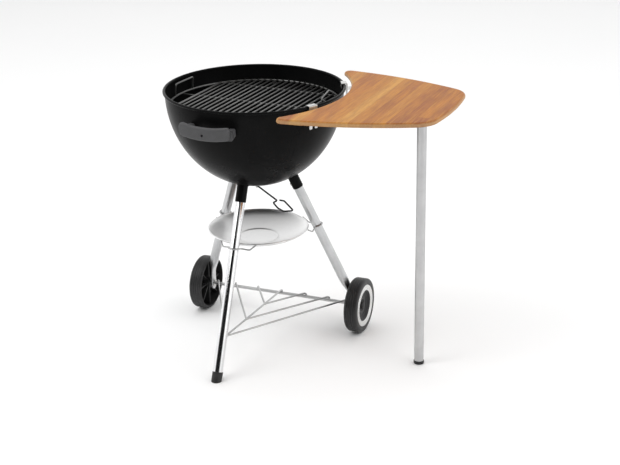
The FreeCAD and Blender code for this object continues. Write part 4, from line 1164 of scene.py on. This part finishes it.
def grey_ramp(tree, start, start_grey, end, end_grey):
    """Ramp from one grey to another between two positions."""
    ramp = tree.nodes.new("ShaderNodeValToRGB")
    first, last = ramp.color_ramp.elements
    first.position, last.position = start, end
    first.color = (start_grey, start_grey, start_grey, 1)
    last.color = (end_grey, end_grey, end_grey, 1)
    return ramp


def world():
    """White surroundings, dimmer overhead, with a dark studio on the camera's side."""
    made = bpy.data.worlds.new("studio")
    bpy.context.scene.world = made
    made.use_nodes = True
    tree = made.node_tree
    background = tree.nodes["Background"]
    direction = tree.nodes.new("ShaderNodeTexCoord").outputs["Generated"]
    facing = tree.nodes.new("ShaderNodeVectorMath")
    facing.operation = "DOT_PRODUCT"
    dark = CAMERA_AZIMUTH - math.radians(17)
    facing.inputs[1].default_value = (math.sin(dark), -math.cos(dark), 0.2)
    ramp = grey_ramp(tree, 0.46, 1.0, 0.80, 0.012)
    ramp.color_ramp.interpolation = "EASE"
    tree.links.new(direction, facing.inputs[0])
    tree.links.new(facing.outputs["Value"], ramp.inputs[0])
    height = tree.nodes.new("ShaderNodeSeparateXYZ")
    overhead = grey_ramp(tree, 0.3, 1.0, 0.85, 0.36)
    both = tree.nodes.new("ShaderNodeMix")
    both.data_type = "RGBA"
    both.blend_type = "MULTIPLY"
    both.inputs[0].default_value = 1.0
    tree.links.new(direction, height.inputs[0])
    tree.links.new(height.outputs["Z"], overhead.inputs[0])
    tree.links.new(ramp.outputs[0], both.inputs[6])
    tree.links.new(overhead.outputs[0], both.inputs[7])
    tree.links.new(both.outputs[2], background.inputs["Color"])
    background.inputs["Strength"].default_value = 1.28


def floor():
    """Plain pale floor, much wider than the view."""
    mesh = bpy.data.meshes.new("floor")
    reach, level = 14.0, -0.0004
    corners = [(reach * x, reach * y, level) for x, y in ((-1, -1), (1, -1), (1, 1), (-1, 1))]
    mesh.from_pydata(corners, [], [(0, 1, 2, 3)])
    obj = bpy.data.objects.new("floor", mesh)
    bpy.context.scene.collection.objects.link(obj)
    f = Finish("floor_paint", roughness=0.9, specular=0.1)
    f.colour(f.mix(f.noise(1.5, 3.0), (0.95, 0.95, 0.95), (0.97, 0.97, 0.97)))
    mesh.materials.append(f.material)


# --- Everything
bowl()
front_leg()
for leg_name in ("right", "left"):
    rear_leg(leg_name)
for leg_name in LEG_TOPS:
    sleeve(leg_name)
    pan_clip(leg_name)
snap_buttons()
foot_cap()
axle()
axle_caps()
for wheel_side in (1, -1):
    wheel(wheel_side)
rack()
ash_pan()
cooking_grate()
charcoal_grate()
damper_lever()
for handle_name, handle_azimuth in (("front", -93.9), ("rear", 86.1)):
    handle(handle_name, handle_azimuth)
for hook_name, hook_azimuth in (("front", -28.5), ("rear", 28.5)):
    table_hook(hook_name, hook_azimuth)
table_top()
table_leg()
dress_nodes()
floor()
world()
softbox("key", (-1.6, -1.6, 3.0), (0, 0, 0.4), (2.2, 2.2), 32)
softbox("top", (0.3, 0.6, 5.0), (0.3, 0.6, 0.4), (10.0, 10.0), 260, False)
softbox("fill", (2.6, -0.6, 1.6), (0, 0, 0.4), (1.6, 2.2), 7)
camera()
bpy.context.scene.view_settings.view_transform = "Standard"
